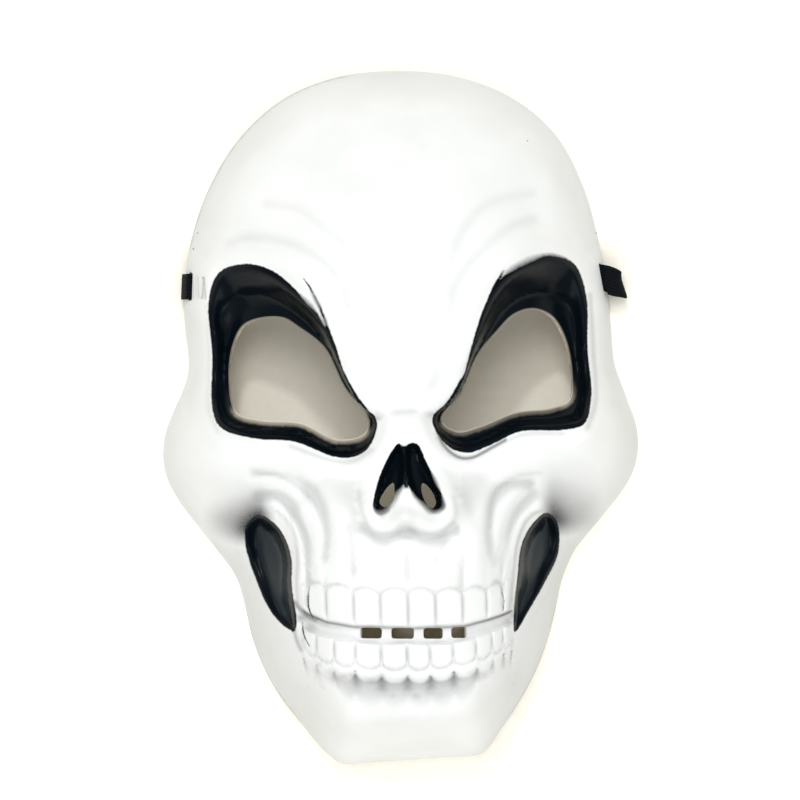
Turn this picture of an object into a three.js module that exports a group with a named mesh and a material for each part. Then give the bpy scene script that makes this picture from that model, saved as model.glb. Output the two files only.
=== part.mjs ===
import * as THREE from 'three';

// Skull mask, face up on its rim. X = right of the face as seen, Y = top of the head, Z = out of the face. Sizes in mm.

// ---------------------------------------------------------------- driving sizes
const WALL = 1.5;               // thickness of the moulded sheet
const DOME_RISE = 62;           // height of the plain dome under the features
const WALL_LEAN = 78 * Math.PI / 180; // how steeply the side wall meets the floor
const CENTRE = { x: 2, y: 4 };  // middle of the dome
const GAP = 0.3;                // air between the strap and the shell
const STRAP_WIDE = 9.6, STRAP_THICK = 1.0;
const STRAP_SAG = 62;           // how far the slack strap bows up under the forehead
const SET_OVER = { x: 0.25, y: -0.25 }; // brings the middle of the finished shell over the origin
const STRAP_BOW_HALF = 52;      // half the length of that bow, across the face

const table = (names, rows) => rows.map(r => Object.fromEntries(names.split(' ').map((n, i) => [n, r[i]])));

// Rim seen from the front: bearing in degrees clockwise from the top, reach from CENTRE, bluff = how boxy the side is
const OUTLINE = table('bearing reach bluff', [
  [0, 125.9, 1.35], [10, 125.2, 1.35], [20, 122.6, 1.3], [30, 116.7, 1.25], [40, 106.5, 1.15], [50, 96.1, 1.1],
  [60, 88.1, 1.0], [70, 82.8, 1.0], [80, 80.0, 1.0], [90, 83.3, 1.0], [95, 86.2, 1.0], [100, 88.2, 1.0], [105, 88.9, 1.0],
  [110, 88.0, 1.0], [120, 84.5, 1.0], [130, 82.9, 1.05], [135, 84.4, 1.1], [140, 88.0, 1.2], [145, 94.4, 1.3], [150, 102.0, 1.45],
  [155, 110.0, 1.85], [160, 117.8, 2.2], [165, 126.0, 2.6], [169, 133.0, 2.85], [174.5, 132.2, 2.95], [180, 132.2, 3.0],
  [186, 133.5, 2.95], [191.6, 135.8, 2.85], [195, 132.1, 2.6], [200, 124.6, 2.2], [205, 118.2, 1.85], [210, 111.3, 1.6],
  [215, 104.0, 1.35], [220, 96.4, 1.2], [225, 91.0, 1.1], [230, 88.9, 1.0], [240, 89.4, 1.0], [250, 92.3, 1.0], [255, 93.4, 1.0],
  [260, 92.8, 1.0], [265, 90.6, 1.0], [270, 87.2, 1.0], [275, 84.0, 1.0], [280, 82.5, 1.0], [285, 83.8, 1.0], [290, 87.0, 1.0],
  [300, 94.0, 1.0], [310, 102.2, 1.1], [320, 110.5, 1.15], [330, 118.4, 1.25], [340, 124.1, 1.3], [350, 126.1, 1.35],
]);
// Shallow scallops of the rim, so that the strap can pass under it
const SCALLOPS = table('bearing half rise', [[300.5, 9, 4.2], [59.5, 9, 4.2]]);

// Broad swellings of the sheet
const MOUNDS = table('at x y sx sy rise', [
  ['forehead', 3, 64, 52, 42, 10], ['browLeft', -40, 60, 26, 12, 2.5], ['browRight', 44, 60, 24, 12, 2.5],
  ['glabella', 1, 24, 13, 26, 5.5], ['cheekboneLeft', -68, -11, 15, 14, 9], ['cheekboneRight', 71, -9, 14, 14, 9],
  ['underEyeLeft', -36, -18, 20, 8, 4], ['underEyeRight', 40, -18, 19, 8, 4], ['muzzle', 0, -66, 33, 31, 8],
  ['nose', 2.3, -27, 13, 17, 11], ['nasalBone', 1.5, -4, 8.5, 9, 5], ['chin', 0, -113, 26, 15, 10],
  ['chinDip', 0, -99, 26, 5, -2.5], ['jawLeft', -50, -92, 10, 16, 2], ['jawRight', 49, -92, 10, 16, 2],
]);

// Folds of the brow and cheeks, the bone rims and the lobes under the nose: ridges (+) and grooves (-)
const fold = (name, rise, wide, pts) => ({ name, rise, wide, pts: table('x y', pts) });
const FOLDS = [
  fold('browLeftLow', -1.3, 4, [[-57, 68.7], [-47, 68.4], [-37, 65.2], [-27.7, 58.6], [-19, 51]]),
  fold('browLeftHigh', -1.1, 4.5, [[-47, 81], [-36, 79], [-27, 72], [-19, 64.7]]),
  fold('browRightLow', -1.3, 4, [[51, 72.5], [42.6, 69.8], [34.5, 63.5], [25.4, 53.5], [21.5, 46.5]]),
  fold('browRightHigh', -1.1, 4.5, [[50.7, 82], [37.6, 79.6], [30, 75], [24, 67]]),
  fold('foreheadMidLeft', 0.6, 2.2, [[-4, 82], [-4.5, 62], [-3, 45]]),
  fold('foreheadMidRight', 0.6, 2.2, [[6, 82], [6.5, 62], [5, 45]]),
  fold('shelf', -1.6, 2.2, [[-8.4, 0.6], [-4, 1.9], [1.7, 2.4], [7.3, 2], [11.4, 0.5]]),
  fold('cheekLeftOuter', -1.5, 2.6, [[-55, -19.2], [-44.6, -20.2], [-37.6, -22.6], [-33.3, -27.6], [-29.7, -34.4], [-28.1, -43], [-29.4, -50.8]]),
  fold('cheekLeftInner', -1.5, 2.4, [[-53.4, -27.8], [-47.8, -27.2], [-43.7, -29.2], [-40.4, -35.2], [-36.8, -45], [-35.6, -59]]),
  fold('cheekRightInner', -1.5, 2.4, [[47, -25.6], [38.9, -26.5], [34.4, -30.5], [32.3, -36.8], [31.7, -47.5], [34.3, -63]]),
  fold('cheekRightOuter', -1.4, 2.2, [[48.5, -30.1], [44.3, -34.5], [40.4, -41.4], [38.6, -50.3], [38.3, -57.8]]),
  fold('rootLeft', -0.8, 2.4, [[-21, -40], [-19.6, -46.6], [-19.1, -56]]),
  fold('rootRight', -0.8, 2.4, [[15.7, -46], [12.6, -53]]),
  fold('rootFarRight', -0.8, 2.4, [[24.7, -45], [22.2, -55], [21, -62]]),
  fold('philtrum', -0.9, 3.0, [[1, -45], [1, -58]]),
  fold('noseLobeLeft', 3.2, 3.4, [[-13.6, -33], [-12.2, -38], [-8.6, -40.6], [-4.5, -40.2], [0.6, -36.8]]),
  fold('noseLobeRight', 3.2, 3.4, [[0.6, -36.8], [5.5, -38.4], [9.5, -40.8], [14, -40.6], [17.4, -37.6], [18, -32]]),
  fold('underLobes', -1.6, 2.4, [[-15.5, -41], [-8, -45.6], [0.6, -43], [9, -46], [19.5, -42.5]]),
  fold('templeRight', -0.9, 1.6, [[64.4, 65], [69.4, 57.9], [72.9, 49.6], [73.4, 38.8], [73.2, 21]]),
  fold('cornerLeft', -2.0, 2.6, [[-40, -68], [-36, -76]]),
  fold('cornerRight', -2.0, 2.6, [[41.5, -68], [39.5, -75]]),
  fold('hollowLipLeft', 1.5, 2.4, [[-52, -32.6], [-45.6, -35.2], [-40.6, -42], [-38.7, -52], [-39.3, -62], [-38.6, -70]]),
  fold('hollowLipRight', 1.5, 2.4, [[51, -35.4], [45, -39], [41, -47], [39.4, -56], [38.4, -66]]),
];

// Edges of the painted hollows and of the holes, clockwise or not, as smooth closed lines through these points
const EDGES = {
  socketLeft: table('x y', [[-56, 58.6], [-46, 55.7], [-35.4, 46.1], [-29.0, 38.5], [-23.2, 24.3], [-18.7, 13.4], [-14.4, 5.0], [-8.8, -1.0], [-12, -10.7],
    [-18, -14.2], [-25.5, -13.7], [-39.1, -8.1], [-55.4, -6.2], [-67, -2], [-70, 5], [-69.7, 25.4], [-70.4, 45.9], [-66, 56]]),
  socketRight: table('x y', [[57.5, 59.3], [66.2, 55.6], [70.5, 43.7], [70.5, 24], [71.3, 5.8], [68.2, -4.2], [60.7, -6.2], [45.4, -6.2],
    [41.3, -7.3], [36.8, -9.4], [31.1, -11.9], [25.6, -13.7], [20.7, -13.0], [17.6, -11.3], [14.8, -8.4], [11.7, -0.5], [20.6, 8], [27.6, 25.1], [34.1, 44.3], [41, 53], [50.8, 58]]),
  openingLeft: table('x y', [[-56.9, 36.3], [-43.5, 38.2], [-36.9, 34.3], [-27.6, 26.4], [-20.5, 11.5], [-12.4, 0.9], [-11.9, -2.5],
    [-14.5, -6.2], [-24.2, -7.4], [-36.7, -1.1], [-51.9, 0.4], [-61, 3.6], [-63.3, 14], [-61.8, 28]]),
  openingRight: table('x y', [[50.7, 39], [57.5, 36], [62.2, 27.5], [64.2, 13.8], [63, 5], [56.4, 2.1], [43, 0.9], [29.5, -3.9], [20.8, -5.6],
    [15.2, -1.1], [22.7, 8.5], [29.5, 22.6], [36.3, 30.5], [43.4, 37.2]]),
  hollowLeft: table('x y', [[-53.6, -34.9], [-58.3, -38.4], [-59.2, -45.5], [-56, -57.9], [-50.4, -70.8], [-45.0, -76.8], [-41.4, -78.3], [-41.0, -73],
    [-42, -61.2], [-42, -50.4], [-45.5, -41], [-50, -36.4]]),
  hollowRight: table('x y', [[53.5, -36.9], [57.4, -40.6], [57.6, -52.3], [52.9, -61.9], [46.3, -72.5], [40.4, -81], [40.2, -73.4],
    [41.8, -60.8], [43.8, -48.2], [48.4, -40.4]]),
  noseLeft: table('x y', [[-0.8, -9.5], [-5, -14.6], [-9.8, -26], [-10.8, -34], [-8, -36.4], [-2.1, -31.4], [0.8, -24], [1.0, -14]]),
  noseRight: table('x y', [[1.9, -10.4], [5.6, -9.7], [9.4, -17.2], [14.3, -28.1], [15.6, -34], [12.6, -36.2], [5.7, -32.3], [2.0, -24]]),
  nostrilLeft: table('x y', [[-3.4, -23.9], [-7.0, -27.6], [-8.6, -31.4], [-6.6, -33.1], [-3.7, -31], [-2.9, -26.6]]),
  nostrilRight: table('x y', [[7.6, -24.4], [7, -27.2], [8.7, -32], [10.8, -34], [12.3, -32], [10.6, -27.2]]),
};
const DEPTHS = table('edge opening shallow deep low high wall', [ // depth goes from shallow at height low to deep at height high
  ['socketLeft', 'openingLeft', 6.5, 13, 0, 44, 0.78], ['socketRight', 'openingRight', 6.5, 13, 0, 44, 0.78],
]);
const PITS = table('edge depth wall', [['hollowLeft', 7, 5], ['hollowRight', 7, 5], ['noseLeft', 6, 2.6], ['noseRight', 6, 2.6]]);

// Teeth: the lines between them, with the gum and the biting edge at each line
const UPPER = table('x gum bite', [
  [-40.5, -60.8, -68.3], [-36.6, -60.6, -71.8], [-29.5, -60.8, -75], [-19.3, -62.2, -76.9], [-9.3, -63.2, -77.3], [1, -62.7, -78],
  [11.2, -63.7, -77.9], [21.4, -63.6, -77.8], [30.3, -63.5, -75.8], [36.2, -61.8, -74.1], [39.8, -59.8, -72.7],
]);
const LOWER = table('x top root', [
  [-38.4, -76.2, -85.5], [-33.6, -78.9, -89], [-27, -80.6, -91.4], [-19.2, -81.8, -92.4], [-9.5, -82.9, -93.6], [0.2, -82.9, -94],
  [8.7, -83.4, -94], [17.3, -83.2, -93], [25.9, -81.6, -91.6], [31.9, -79.9, -89], [36, -78.5, -87.4], [39, -77.1, -85.6],
]);
const TOOTH_RISE = 1.5, ROOT_RISE = 0.9, MOUTH_DROP = 2.6, ROOT_GAP_DROP = 1.6;
// Cut-through slots: middle, size, lean in degrees
const SLOTS = table('name x y wide tall lean', [
  ['mouth1', -13.0, -79.5, 8.0, 4.0, -2], ['mouth2', -1.3, -79.9, 8.4, 4.0, -2], ['mouth3', 10.0, -80.2, 7.2, 4.0, -2],
  ['mouth4', 19.6, -80.2, 5.8, 4.0, -1], ['strapLeftOuter', -77.3, 51.0, 1.5, 10.8, -3], ['strapLeftInner', -72.7, 50.2, 1.1, 8.4, -5],
  ['strapRightOuter', 76.9, 50.4, 1.0, 11, 9],
]);

// ---------------------------------------------------------------- small tools
const RAD = Math.PI / 180;
const smooth = t => { t = Math.min(1, Math.max(0, t)); return t * t * (3 - 2 * t); };
const lerpTable = (rows, key, x) => {
  if (x <= rows[0].x) return rows[0][key];
  for (let i = 1; i < rows.length; i++) if (x <= rows[i].x) {
    const t = (x - rows[i - 1].x) / (rows[i].x - rows[i - 1].x);
    return rows[i - 1][key] * (1 - t) + rows[i][key] * t;
  }
  return rows[rows.length - 1][key];
};
const byBearing = (key, b) => { // smooth round the clock
  const n = OUTLINE.length; b = ((b % 360) + 360) % 360;
  let i = n - 1; for (let k = 0; k < n - 1; k++) if (b >= OUTLINE[k].bearing && b < OUTLINE[k + 1].bearing) { i = k; break; }
  const at = k => { const m = ((k % n) + n) % n; return [OUTLINE[m].bearing + 360 * Math.floor(k / n), OUTLINE[m][key]]; };
  const [p, q, r, s] = [at(i - 1), at(i), at(i + 1), at(i + 2)];
  if (b < q[0]) b += 360;
  const h = r[0] - q[0], t = (b - q[0]) / h;
  const m0 = (r[1] - p[1]) / (r[0] - p[0]) * h, m1 = (s[1] - q[1]) / (s[0] - q[0]) * h;
  return (2 * t ** 3 - 3 * t ** 2 + 1) * q[1] + (t ** 3 - 2 * t ** 2 + t) * m0 + (-2 * t ** 3 + 3 * t ** 2) * r[1] + (t ** 3 - t ** 2) * m1;
};
const through = (pts, closed, per) => { // Catmull-Rom line through the points, `per` steps a span
  const v = pts.map(p => new THREE.Vector3(p.x, p.y, p.z || 0));
  const c = new THREE.CatmullRomCurve3(v, closed, 'centripetal');
  const n = (closed ? v.length : v.length - 1) * per, out = [];
  for (let i = 0; i < n + (closed ? 0 : 1); i++) out.push(c.getPoint(i / n));
  return out;
};
const evenly = (line, gap) => { // a closed line resampled at an even gap
  const L = [0]; const n = line.length;
  for (let i = 0; i < n; i++) L.push(L[i] + Math.hypot(line[(i + 1) % n].x - line[i].x, line[(i + 1) % n].y - line[i].y));
  const m = Math.max(8, Math.round(L[n] / gap)), out = [];
  for (let k = 0, i = 0; k < m; k++) {
    const s = L[n] * k / m; while (L[i + 1] < s) i++;
    const t = (s - L[i]) / (L[i + 1] - L[i]), a = line[i], b = line[(i + 1) % n];
    out.push({ x: a.x + (b.x - a.x) * t, y: a.y + (b.y - a.y) * t });
  }
  return out;
};
const segDist = (x, y, a, b) => {
  const dx = b.x - a.x, dy = b.y - a.y, t = Math.min(1, Math.max(0, ((x - a.x) * dx + (y - a.y) * dy) / (dx * dx + dy * dy + 1e-12)));
  return Math.hypot(x - a.x - t * dx, y - a.y - t * dy);
};
const boxOf = line => ({ x0: Math.min(...line.map(p => p.x)), x1: Math.max(...line.map(p => p.x)), y0: Math.min(...line.map(p => p.y)), y1: Math.max(...line.map(p => p.y)) });
const inside = (line, x, y) => {
  let c = false;
  for (let i = 0, j = line.length - 1; i < line.length; j = i++) {
    const a = line[i], b = line[j];
    if ((a.y > y) !== (b.y > y) && x < (b.x - a.x) * (y - a.y) / (b.y - a.y) + a.x) c = !c;
  }
  return c;
};
const signed = (line, x, y) => { // negative inside
  let d = Infinity;
  for (let i = 0, j = line.length - 1; i < line.length; j = i++) d = Math.min(d, segDist(x, y, line[j], line[i]));
  return inside(line, x, y) ? -d : d;
};
const away = (line, x, y) => { let d = Infinity; for (let i = 1; i < line.length; i++) d = Math.min(d, segDist(x, y, line[i - 1], line[i])); return d; };

// ---------------------------------------------------------------- the height of the outer face over every point
const LINES = Object.fromEntries(Object.entries(EDGES).map(([k, pts]) => [k, through(pts, true, 4)]));
const LBOX = Object.fromEntries(Object.entries(LINES).map(([k, l]) => [k, boxOf(l)]));
const FOLD_LINES = FOLDS.map(f => { const line = through(f.pts, false, 3); return { ...f, line, box: boxOf(line) }; });
const near = (b, x, y, m) => x > b.x0 - m && x < b.x1 + m && y > b.y0 - m && y < b.y1 + m;

const polar = (x, y) => {
  const dx = x - CENTRE.x, dy = y - CENTRE.y, r = Math.hypot(dx, dy), b = Math.atan2(dx, dy) / RAD;
  const R = byBearing('reach', b), p = byBearing('bluff', b), f = Math.min(1, r / R);
  return { dx, dy, r, b, R, p, f, s: Math.asin(Math.min(1, f ** p) * Math.sin(WALL_LEAN)) / WALL_LEAN };
};
const rimLift = b => {
  let l = 0; for (const c of SCALLOPS) { const d = Math.abs(((b - c.bearing + 540) % 360) - 180); l += c.rise * smooth((c.half - d) / (0.45 * c.half)); }
  return l;
};
function relief(x, y) {
  let z = 0;
  for (const m of MOUNDS) z += m.rise * Math.exp(-(((x - m.x) / m.sx) ** 2) - (((y - m.y) / m.sy) ** 2));
  for (const f of FOLD_LINES) if (near(f.box, x, y, 2.6 * f.wide)) z += f.rise * Math.exp(-((away(f.line, x, y) / f.wide) ** 2));
  for (const d of DEPTHS) {
    if (!near(LBOX[d.edge], x, y, 9)) continue;
    const o = -signed(LINES[d.edge], x, y);
    z += 1.6 * Math.exp(-(((o + 4) / 3.2) ** 2)); // rounded bone rim outside the painted edge
    if (o <= 0) continue;
    const i = Math.max(0, signed(LINES[d.opening], x, y)), t = o / (o + i);
    z -= (d.shallow + (d.deep - d.shallow) * smooth((y - d.low) / (d.high - d.low))) * smooth(t / d.wall);
  }
  for (const p of PITS) if (near(LBOX[p.edge], x, y, 1)) z -= p.depth * smooth((-signed(LINES[p.edge], x, y) + 0.2) / p.wall);
  if (x > -42 && x < 42 && y < -38 && y > -108) z += teeth(x, y);
  return z;
}
const arc = u => 1 - Math.sqrt(Math.max(0, 1 - u * u)); // how far a tooth's round end falls away from its middle
function teeth(x, y) {
  let z = 0;
  for (let k = 0; k + 1 < UPPER.length; k++) {
    const a = UPPER[k], b = UPPER[k + 1]; if (x < a.x || x >= b.x) continue;
    const u = 2 * (x - a.x) / (b.x - a.x) - 1, gum = lerpTable(UPPER, 'gum', x) + 0.3 - 3.2 * arc(u), bite = lerpTable(UPPER, 'bite', x);
    const side = 1 - Math.abs(u) ** 4;
    z += TOOTH_RISE * side * smooth((y - bite) / 1.6) * smooth((gum - y) / 2.4);
    z += ROOT_RISE * (1 - u * u) * smooth((y - gum) / 2) * smooth((gum + 17 - y) / 14);
  }
  for (let k = 0; k + 1 < LOWER.length; k++) {
    const a = LOWER[k], b = LOWER[k + 1]; if (x < a.x || x >= b.x) continue;
    const u = 2 * (x - a.x) / (b.x - a.x) - 1, top = lerpTable(LOWER, 'top', x), root = lerpTable(LOWER, 'root', x) + 3.4 * arc(u);
    const side = 1 - Math.abs(u) ** 4;
    z += TOOTH_RISE * side * smooth((top - y) / 1.4) * smooth((y - root) / 2.2);
    z += 1.25 * ROOT_RISE * Math.exp(-(((y - root + 2.3) / 1.9) ** 2));
    z -= ROOT_GAP_DROP * (0.35 + 0.65 * Math.abs(u) ** 3) * smooth((root - 3.9 - y) / 1.6) * smooth((y - root + 12.5) / 6);
  }
  const bite = lerpTable(UPPER, 'bite', x), top = lerpTable(LOWER, 'top', x), m = (y - top) / (bite - top);
  const ends = smooth((x + 41) / 4) * smooth((42 - x) / 4);
  return (z - MOUTH_DROP * smooth((m + 0.25) / 0.4) * smooth((1.2 - m) / 0.4)) * ends;
}
function height(x, y) {
  const q = polar(x, y);
  const dome = DOME_RISE * (Math.cos(WALL_LEAN * q.s) - Math.cos(WALL_LEAN)) / (1 - Math.cos(WALL_LEAN));
  return dome + relief(x, y) * smooth((1 - q.f) / 0.13) + rimLift(q.b) * smooth((q.f - 0.82) / 0.17);
}

// ---------------------------------------------------------------- spreading points over the face
// The face is unrolled to a plane: the side walls, steep in Z, get room there in proportion to their height
const domeAt = (f, p) => { const s = Math.asin(Math.min(1, f ** p) * Math.sin(WALL_LEAN)); return (Math.cos(s) - Math.cos(WALL_LEAN)) / (1 - Math.cos(WALL_LEAN)); };
const unrolled = (f, R, p) => R * f + 0.5 * DOME_RISE * (1 - domeAt(f, p));
const flat = (x, y) => { const q = polar(x, y), k = q.r > 1e-6 ? unrolled(q.f, q.R, q.p) / q.r : 1; return { x: q.dx * k, y: q.dy * k }; };
const unflat = (u, v) => {
  const r = Math.hypot(u, v), b = Math.atan2(u, v) / RAD, R = byBearing('reach', b), p = byBearing('bluff', b);
  let lo = 0, hi = 1; for (let i = 0; i < 40; i++) { const m = (lo + hi) / 2; if (unrolled(m, R, p) < r) lo = m; else hi = m; }
  const k = r > 1e-6 ? R * hi / r : 0;
  return { x: CENTRE.x + u * k, y: CENTRE.y + v * k };
};
const slotLoop = s => {
  const c = Math.cos(s.lean * RAD), n = Math.sin(s.lean * RAD), w = s.wide / 2, t = s.tall / 2, r = Math.min(0.35 * s.wide, 0.35 * s.tall, 1);
  const pts = [], nw = Math.max(1, Math.round((s.wide - 2 * r) / 2.2)), nt = Math.max(1, Math.round((s.tall - 2 * r) / 2.2));
  const side = (x0, y0, x1, y1, k) => { for (let i = 0; i < k; i++) pts.push([x0 + (x1 - x0) * i / k, y0 + (y1 - y0) * i / k]); };
  side(-w + r, t, w - r, t, nw); pts.push([w - r, t]); side(w, t - r, w, -t + r, nt); pts.push([w, -t + r]);
  side(w - r, -t, -w + r, -t, nw); pts.push([-w + r, -t]); side(-w, -t + r, -w, t - r, nt); pts.push([-w, t - r]);
  return pts.map(([x, y]) => ({ x: s.x + x * c - y * n, y: s.y + x * n + y * c }));
};
const RIM_GAP = 4.4, EYE_GAP = 3.0, NOSTRIL_GAP = 1.8, COARSE = 10.5, GROW = 0.40;
const rimLoop = (() => {
  const fine = []; for (let b = 0; b < 360; b += 0.5) { const R = byBearing('reach', b); fine.push({ x: CENTRE.x + R * Math.sin(b * RAD), y: CENTRE.y + R * Math.cos(b * RAD) }); }
  return evenly(fine, RIM_GAP);
})();
const holes = [
  ...['openingLeft', 'openingRight'].map(k => evenly(LINES[k], EYE_GAP)),
  ...['nostrilLeft', 'nostrilRight'].map(k => evenly(LINES[k], NOSTRIL_GAP)),
  ...SLOTS.map(slotLoop),
];
const GUIDES = [ // lines that the triangles follow: [line, closed, gap]
  ...['socketLeft', 'socketRight'].map(k => [LINES[k], true, 2.9]), ...['hollowLeft', 'hollowRight'].map(k => [LINES[k], true, 2.9]),
  ...['noseLeft', 'noseRight'].map(k => [LINES[k], true, 2.3]),
];
const spacing = (x, y) => {
  let h = COARSE;
  for (const [line, , gap] of GUIDES) { const b = boxOf2(line); if (near(b, x, y, 22)) h = Math.min(h, gap + GROW * Math.abs(away([...line, line[0]], x, y))); }
  for (const l of holes) { const b = boxOf2(l); if (near(b, x, y, 20)) h = Math.min(h, (b.x1 - b.x0 > 30 ? EYE_GAP : 2.1) + GROW * away([...l, l[0]], x, y)); }
  for (const f of FOLD_LINES) if (near(f.box, x, y, 15)) h = Math.min(h, 3.0 + 0.45 * f.wide + GROW * away(f.line, x, y));
  const dy = Math.max(0, -96 - y, y + 58), dx = Math.max(0, Math.abs(x) - 40);
  h = Math.min(h, 2.5 + GROW * Math.hypot(dx, dy)); // the teeth
  const q = polar(x, y); h = Math.min(h, RIM_GAP + 0.30 * (q.R - q.r) + 6 * (1 - q.s));
  return h;
};
const boxes = new Map();
function boxOf2(l) { if (!boxes.has(l)) boxes.set(l, boxOf(l)); return boxes.get(l); }

let seed = 7; const rnd = () => { seed = (seed * 1664525 + 1013904223) % 4294967296; return seed / 4294967296; };
const pts = [], fixed = []; // in the flattened plane
const loopsIdx = [];
const putLoop = l => { const ids = []; for (const p of l) { const f = flat(p.x, p.y); ids.push(pts.length); pts.push({ ...f, h: 0 }); fixed.push(true); } loopsIdx.push(ids); };
[rimLoop, ...holes].forEach(putLoop);
const CELL = 5, cells = new Map();
const cellKey = (i, j) => i * 1000 + j;
const file = (p, id) => { const k = cellKey(Math.floor(p.x / CELL) + 500, Math.floor(p.y / CELL) + 500); if (!cells.has(k)) cells.set(k, []); cells.get(k).push(id); };
pts.forEach((p, id) => file(p, id));
const free = (p, h) => {
  const R = Math.ceil(h / CELL), ci = Math.floor(p.x / CELL) + 500, cj = Math.floor(p.y / CELL) + 500;
  for (let i = -R; i <= R; i++) for (let j = -R; j <= R; j++) for (const id of cells.get(cellKey(ci + i, cj + j)) || []) if (Math.hypot(pts[id].x - p.x, pts[id].y - p.y) < h) return false;
  return true;
};
const inHole = (x, y) => holes.some(l => near(boxOf2(l), x, y, 0) && inside(l, x, y));
const offer = (x, y, k, stay) => {
  const q = polar(x, y); if (q.f >= 0.999 || inHole(x, y)) return;
  const f = flat(x, y), h = spacing(x, y);
  if (free(f, k * h)) { file(f, pts.length); pts.push({ ...f, h }); fixed.push(stay); }
};
for (const [line, closed, gap] of GUIDES) for (const p of evenly(line, gap)) offer(p.x, p.y, 0.55, true);
for (const rows of [UPPER, LOWER]) for (const r of rows) { // lines between the teeth and along the bite
  const hi = rows === UPPER ? r.gum : r.top, lo = rows === UPPER ? r.bite : r.root;
  for (let i = 0; i <= 4; i++) offer(r.x, lo + (hi - lo) * i / 4, 0.6, true);
}
const STEP = 1.3, grid = [];
for (let u = -125; u <= 125; u += STEP) for (let v = -170; v <= 160; v += STEP) grid.push([u + rnd() * STEP, v + rnd() * STEP, rnd()]);
grid.sort((a, b) => a[2] - b[2]);
for (const [u, v] of grid) {
  const b = Math.atan2(u, v) / RAD; if (Math.hypot(u, v) > byBearing('reach', b) + 0.49 * DOME_RISE) continue;
  const p = unflat(u, v); offer(p.x, p.y, 0.90, false);
}

// ---------------------------------------------------------------- Delaunay triangles in the flattened plane
function delaunay(P) {
  const n = P.length, B = 2000, all = [...P, { x: -B, y: -B }, { x: B, y: -B }, { x: 0, y: B }];
  let T = [];
  const make = (a, b, c) => {
    const A = all[a], Bp = all[b], C = all[c], e = 2 * ((Bp.x - A.x) * (C.y - A.y) - (Bp.y - A.y) * (C.x - A.x)), d = Math.abs(e) < 1e-9 ? 1e-9 : e;
    const bb = (Bp.x - A.x) ** 2 + (Bp.y - A.y) ** 2, cc = (C.x - A.x) ** 2 + (C.y - A.y) ** 2;
    const ux = ((C.y - A.y) * bb - (Bp.y - A.y) * cc) / d, uy = ((Bp.x - A.x) * cc - (C.x - A.x) * bb) / d;
    return { a, b, c, x: A.x + ux, y: A.y + uy, r: ux * ux + uy * uy };
  };
  T.push(make(n, n + 1, n + 2));
  const order = [...P.keys()].sort((i, j) => P[i].x - P[j].x); let done = [];
  for (const i of order) {
    const p = all[i], edges = new Map(), keep = [];
    for (const t of T) {
      const dx = p.x - t.x;
      if (dx > 0 && dx * dx > t.r) { done.push(t); continue; }
      if (dx * dx + (p.y - t.y) ** 2 <= t.r * (1 + 1e-12)) {
        for (const [u, v] of [[t.a, t.b], [t.b, t.c], [t.c, t.a]]) {
          const k = u < v ? u * 100000 + v : v * 100000 + u;
          if (edges.has(k)) edges.delete(k); else edges.set(k, [u, v]);
        }
      } else keep.push(t);
    }
    T = keep; for (const [u, v] of edges.values()) T.push(make(u, v, i));
  }
  return [...done, ...T].filter(t => t.a < n && t.b < n && t.c < n).map(t => {
    const [A, Bp, C] = [P[t.a], P[t.b], P[t.c]];
    return (Bp.x - A.x) * (C.y - A.y) - (Bp.y - A.y) * (C.x - A.x) > 0 ? [t.a, t.b, t.c] : [t.a, t.c, t.b];
  });
}
const sheet = () => { // triangles between the rim and the holes; a border edge that none has gets a point near its middle
  for (let round = 0; round < 8; round++) {
    const T = delaunay(pts), at = new Map();
    T.forEach((t, i) => { for (let k = 0; k < 3; k++) at.set(t[k] * 100000 + t[(k + 1) % 3], i); });
    const border = new Set(), lost = [];
    for (const ids of loopsIdx) ids.forEach((a, k) => {
      const b = ids[(k + 1) % ids.length]; border.add(a * 100000 + b); border.add(b * 100000 + a);
      if (!at.has(a * 100000 + b) && !at.has(b * 100000 + a)) lost.push([ids, a, b]);
    });
    if (lost.length) {
      for (const [ids, a, b] of lost) {
        pts.push({ x: (pts[a].x + pts[b].x) / 2 + 1e-4 * (rnd() - 0.5), y: (pts[a].y + pts[b].y) / 2 + 1e-4 * (rnd() - 0.5), h: 0 });
        fixed.push(true); ids.splice(ids.indexOf(a) + 1, 0, pts.length - 1);
      }
      continue;
    }
    const onLoop = new Set(loopsIdx.flat()), first = T.findIndex(t => !t.some(i => onLoop.has(i)));
    const seen = new Set([first]), todo = [first];
    while (todo.length) {
      const t = T[todo.pop()];
      for (let k = 0; k < 3; k++) {
        const a = t[k], b = t[(k + 1) % 3]; if (border.has(a * 100000 + b)) continue;
        const o = at.get(b * 100000 + a); if (o !== undefined && !seen.has(o)) { seen.add(o); todo.push(o); }
      }
    }
    return T.filter((t, i) => seen.has(i));
  }
  throw new Error('the border could not be kept');
};
let tris = sheet();
for (let round = 0; round < 3; round++) { // even out the free points
  const sum = pts.map(() => [0, 0, 0]);
  for (const t of tris) {
    const A = Math.abs((pts[t[1]].x - pts[t[0]].x) * (pts[t[2]].y - pts[t[0]].y) - (pts[t[1]].y - pts[t[0]].y) * (pts[t[2]].x - pts[t[0]].x));
    const gx = (pts[t[0]].x + pts[t[1]].x + pts[t[2]].x) / 3, gy = (pts[t[0]].y + pts[t[1]].y + pts[t[2]].y) / 3;
    const w = A ** 0.25; for (const i of t) { sum[i][0] += gx * w; sum[i][1] += gy * w; sum[i][2] += w; }
  }
  pts.forEach((p, i) => { if (!fixed[i] && sum[i][2]) { p.x += 0.6 * (sum[i][0] / sum[i][2] - p.x); p.y += 0.6 * (sum[i][1] / sum[i][2] - p.y); } });
  tris = sheet();
}

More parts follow.
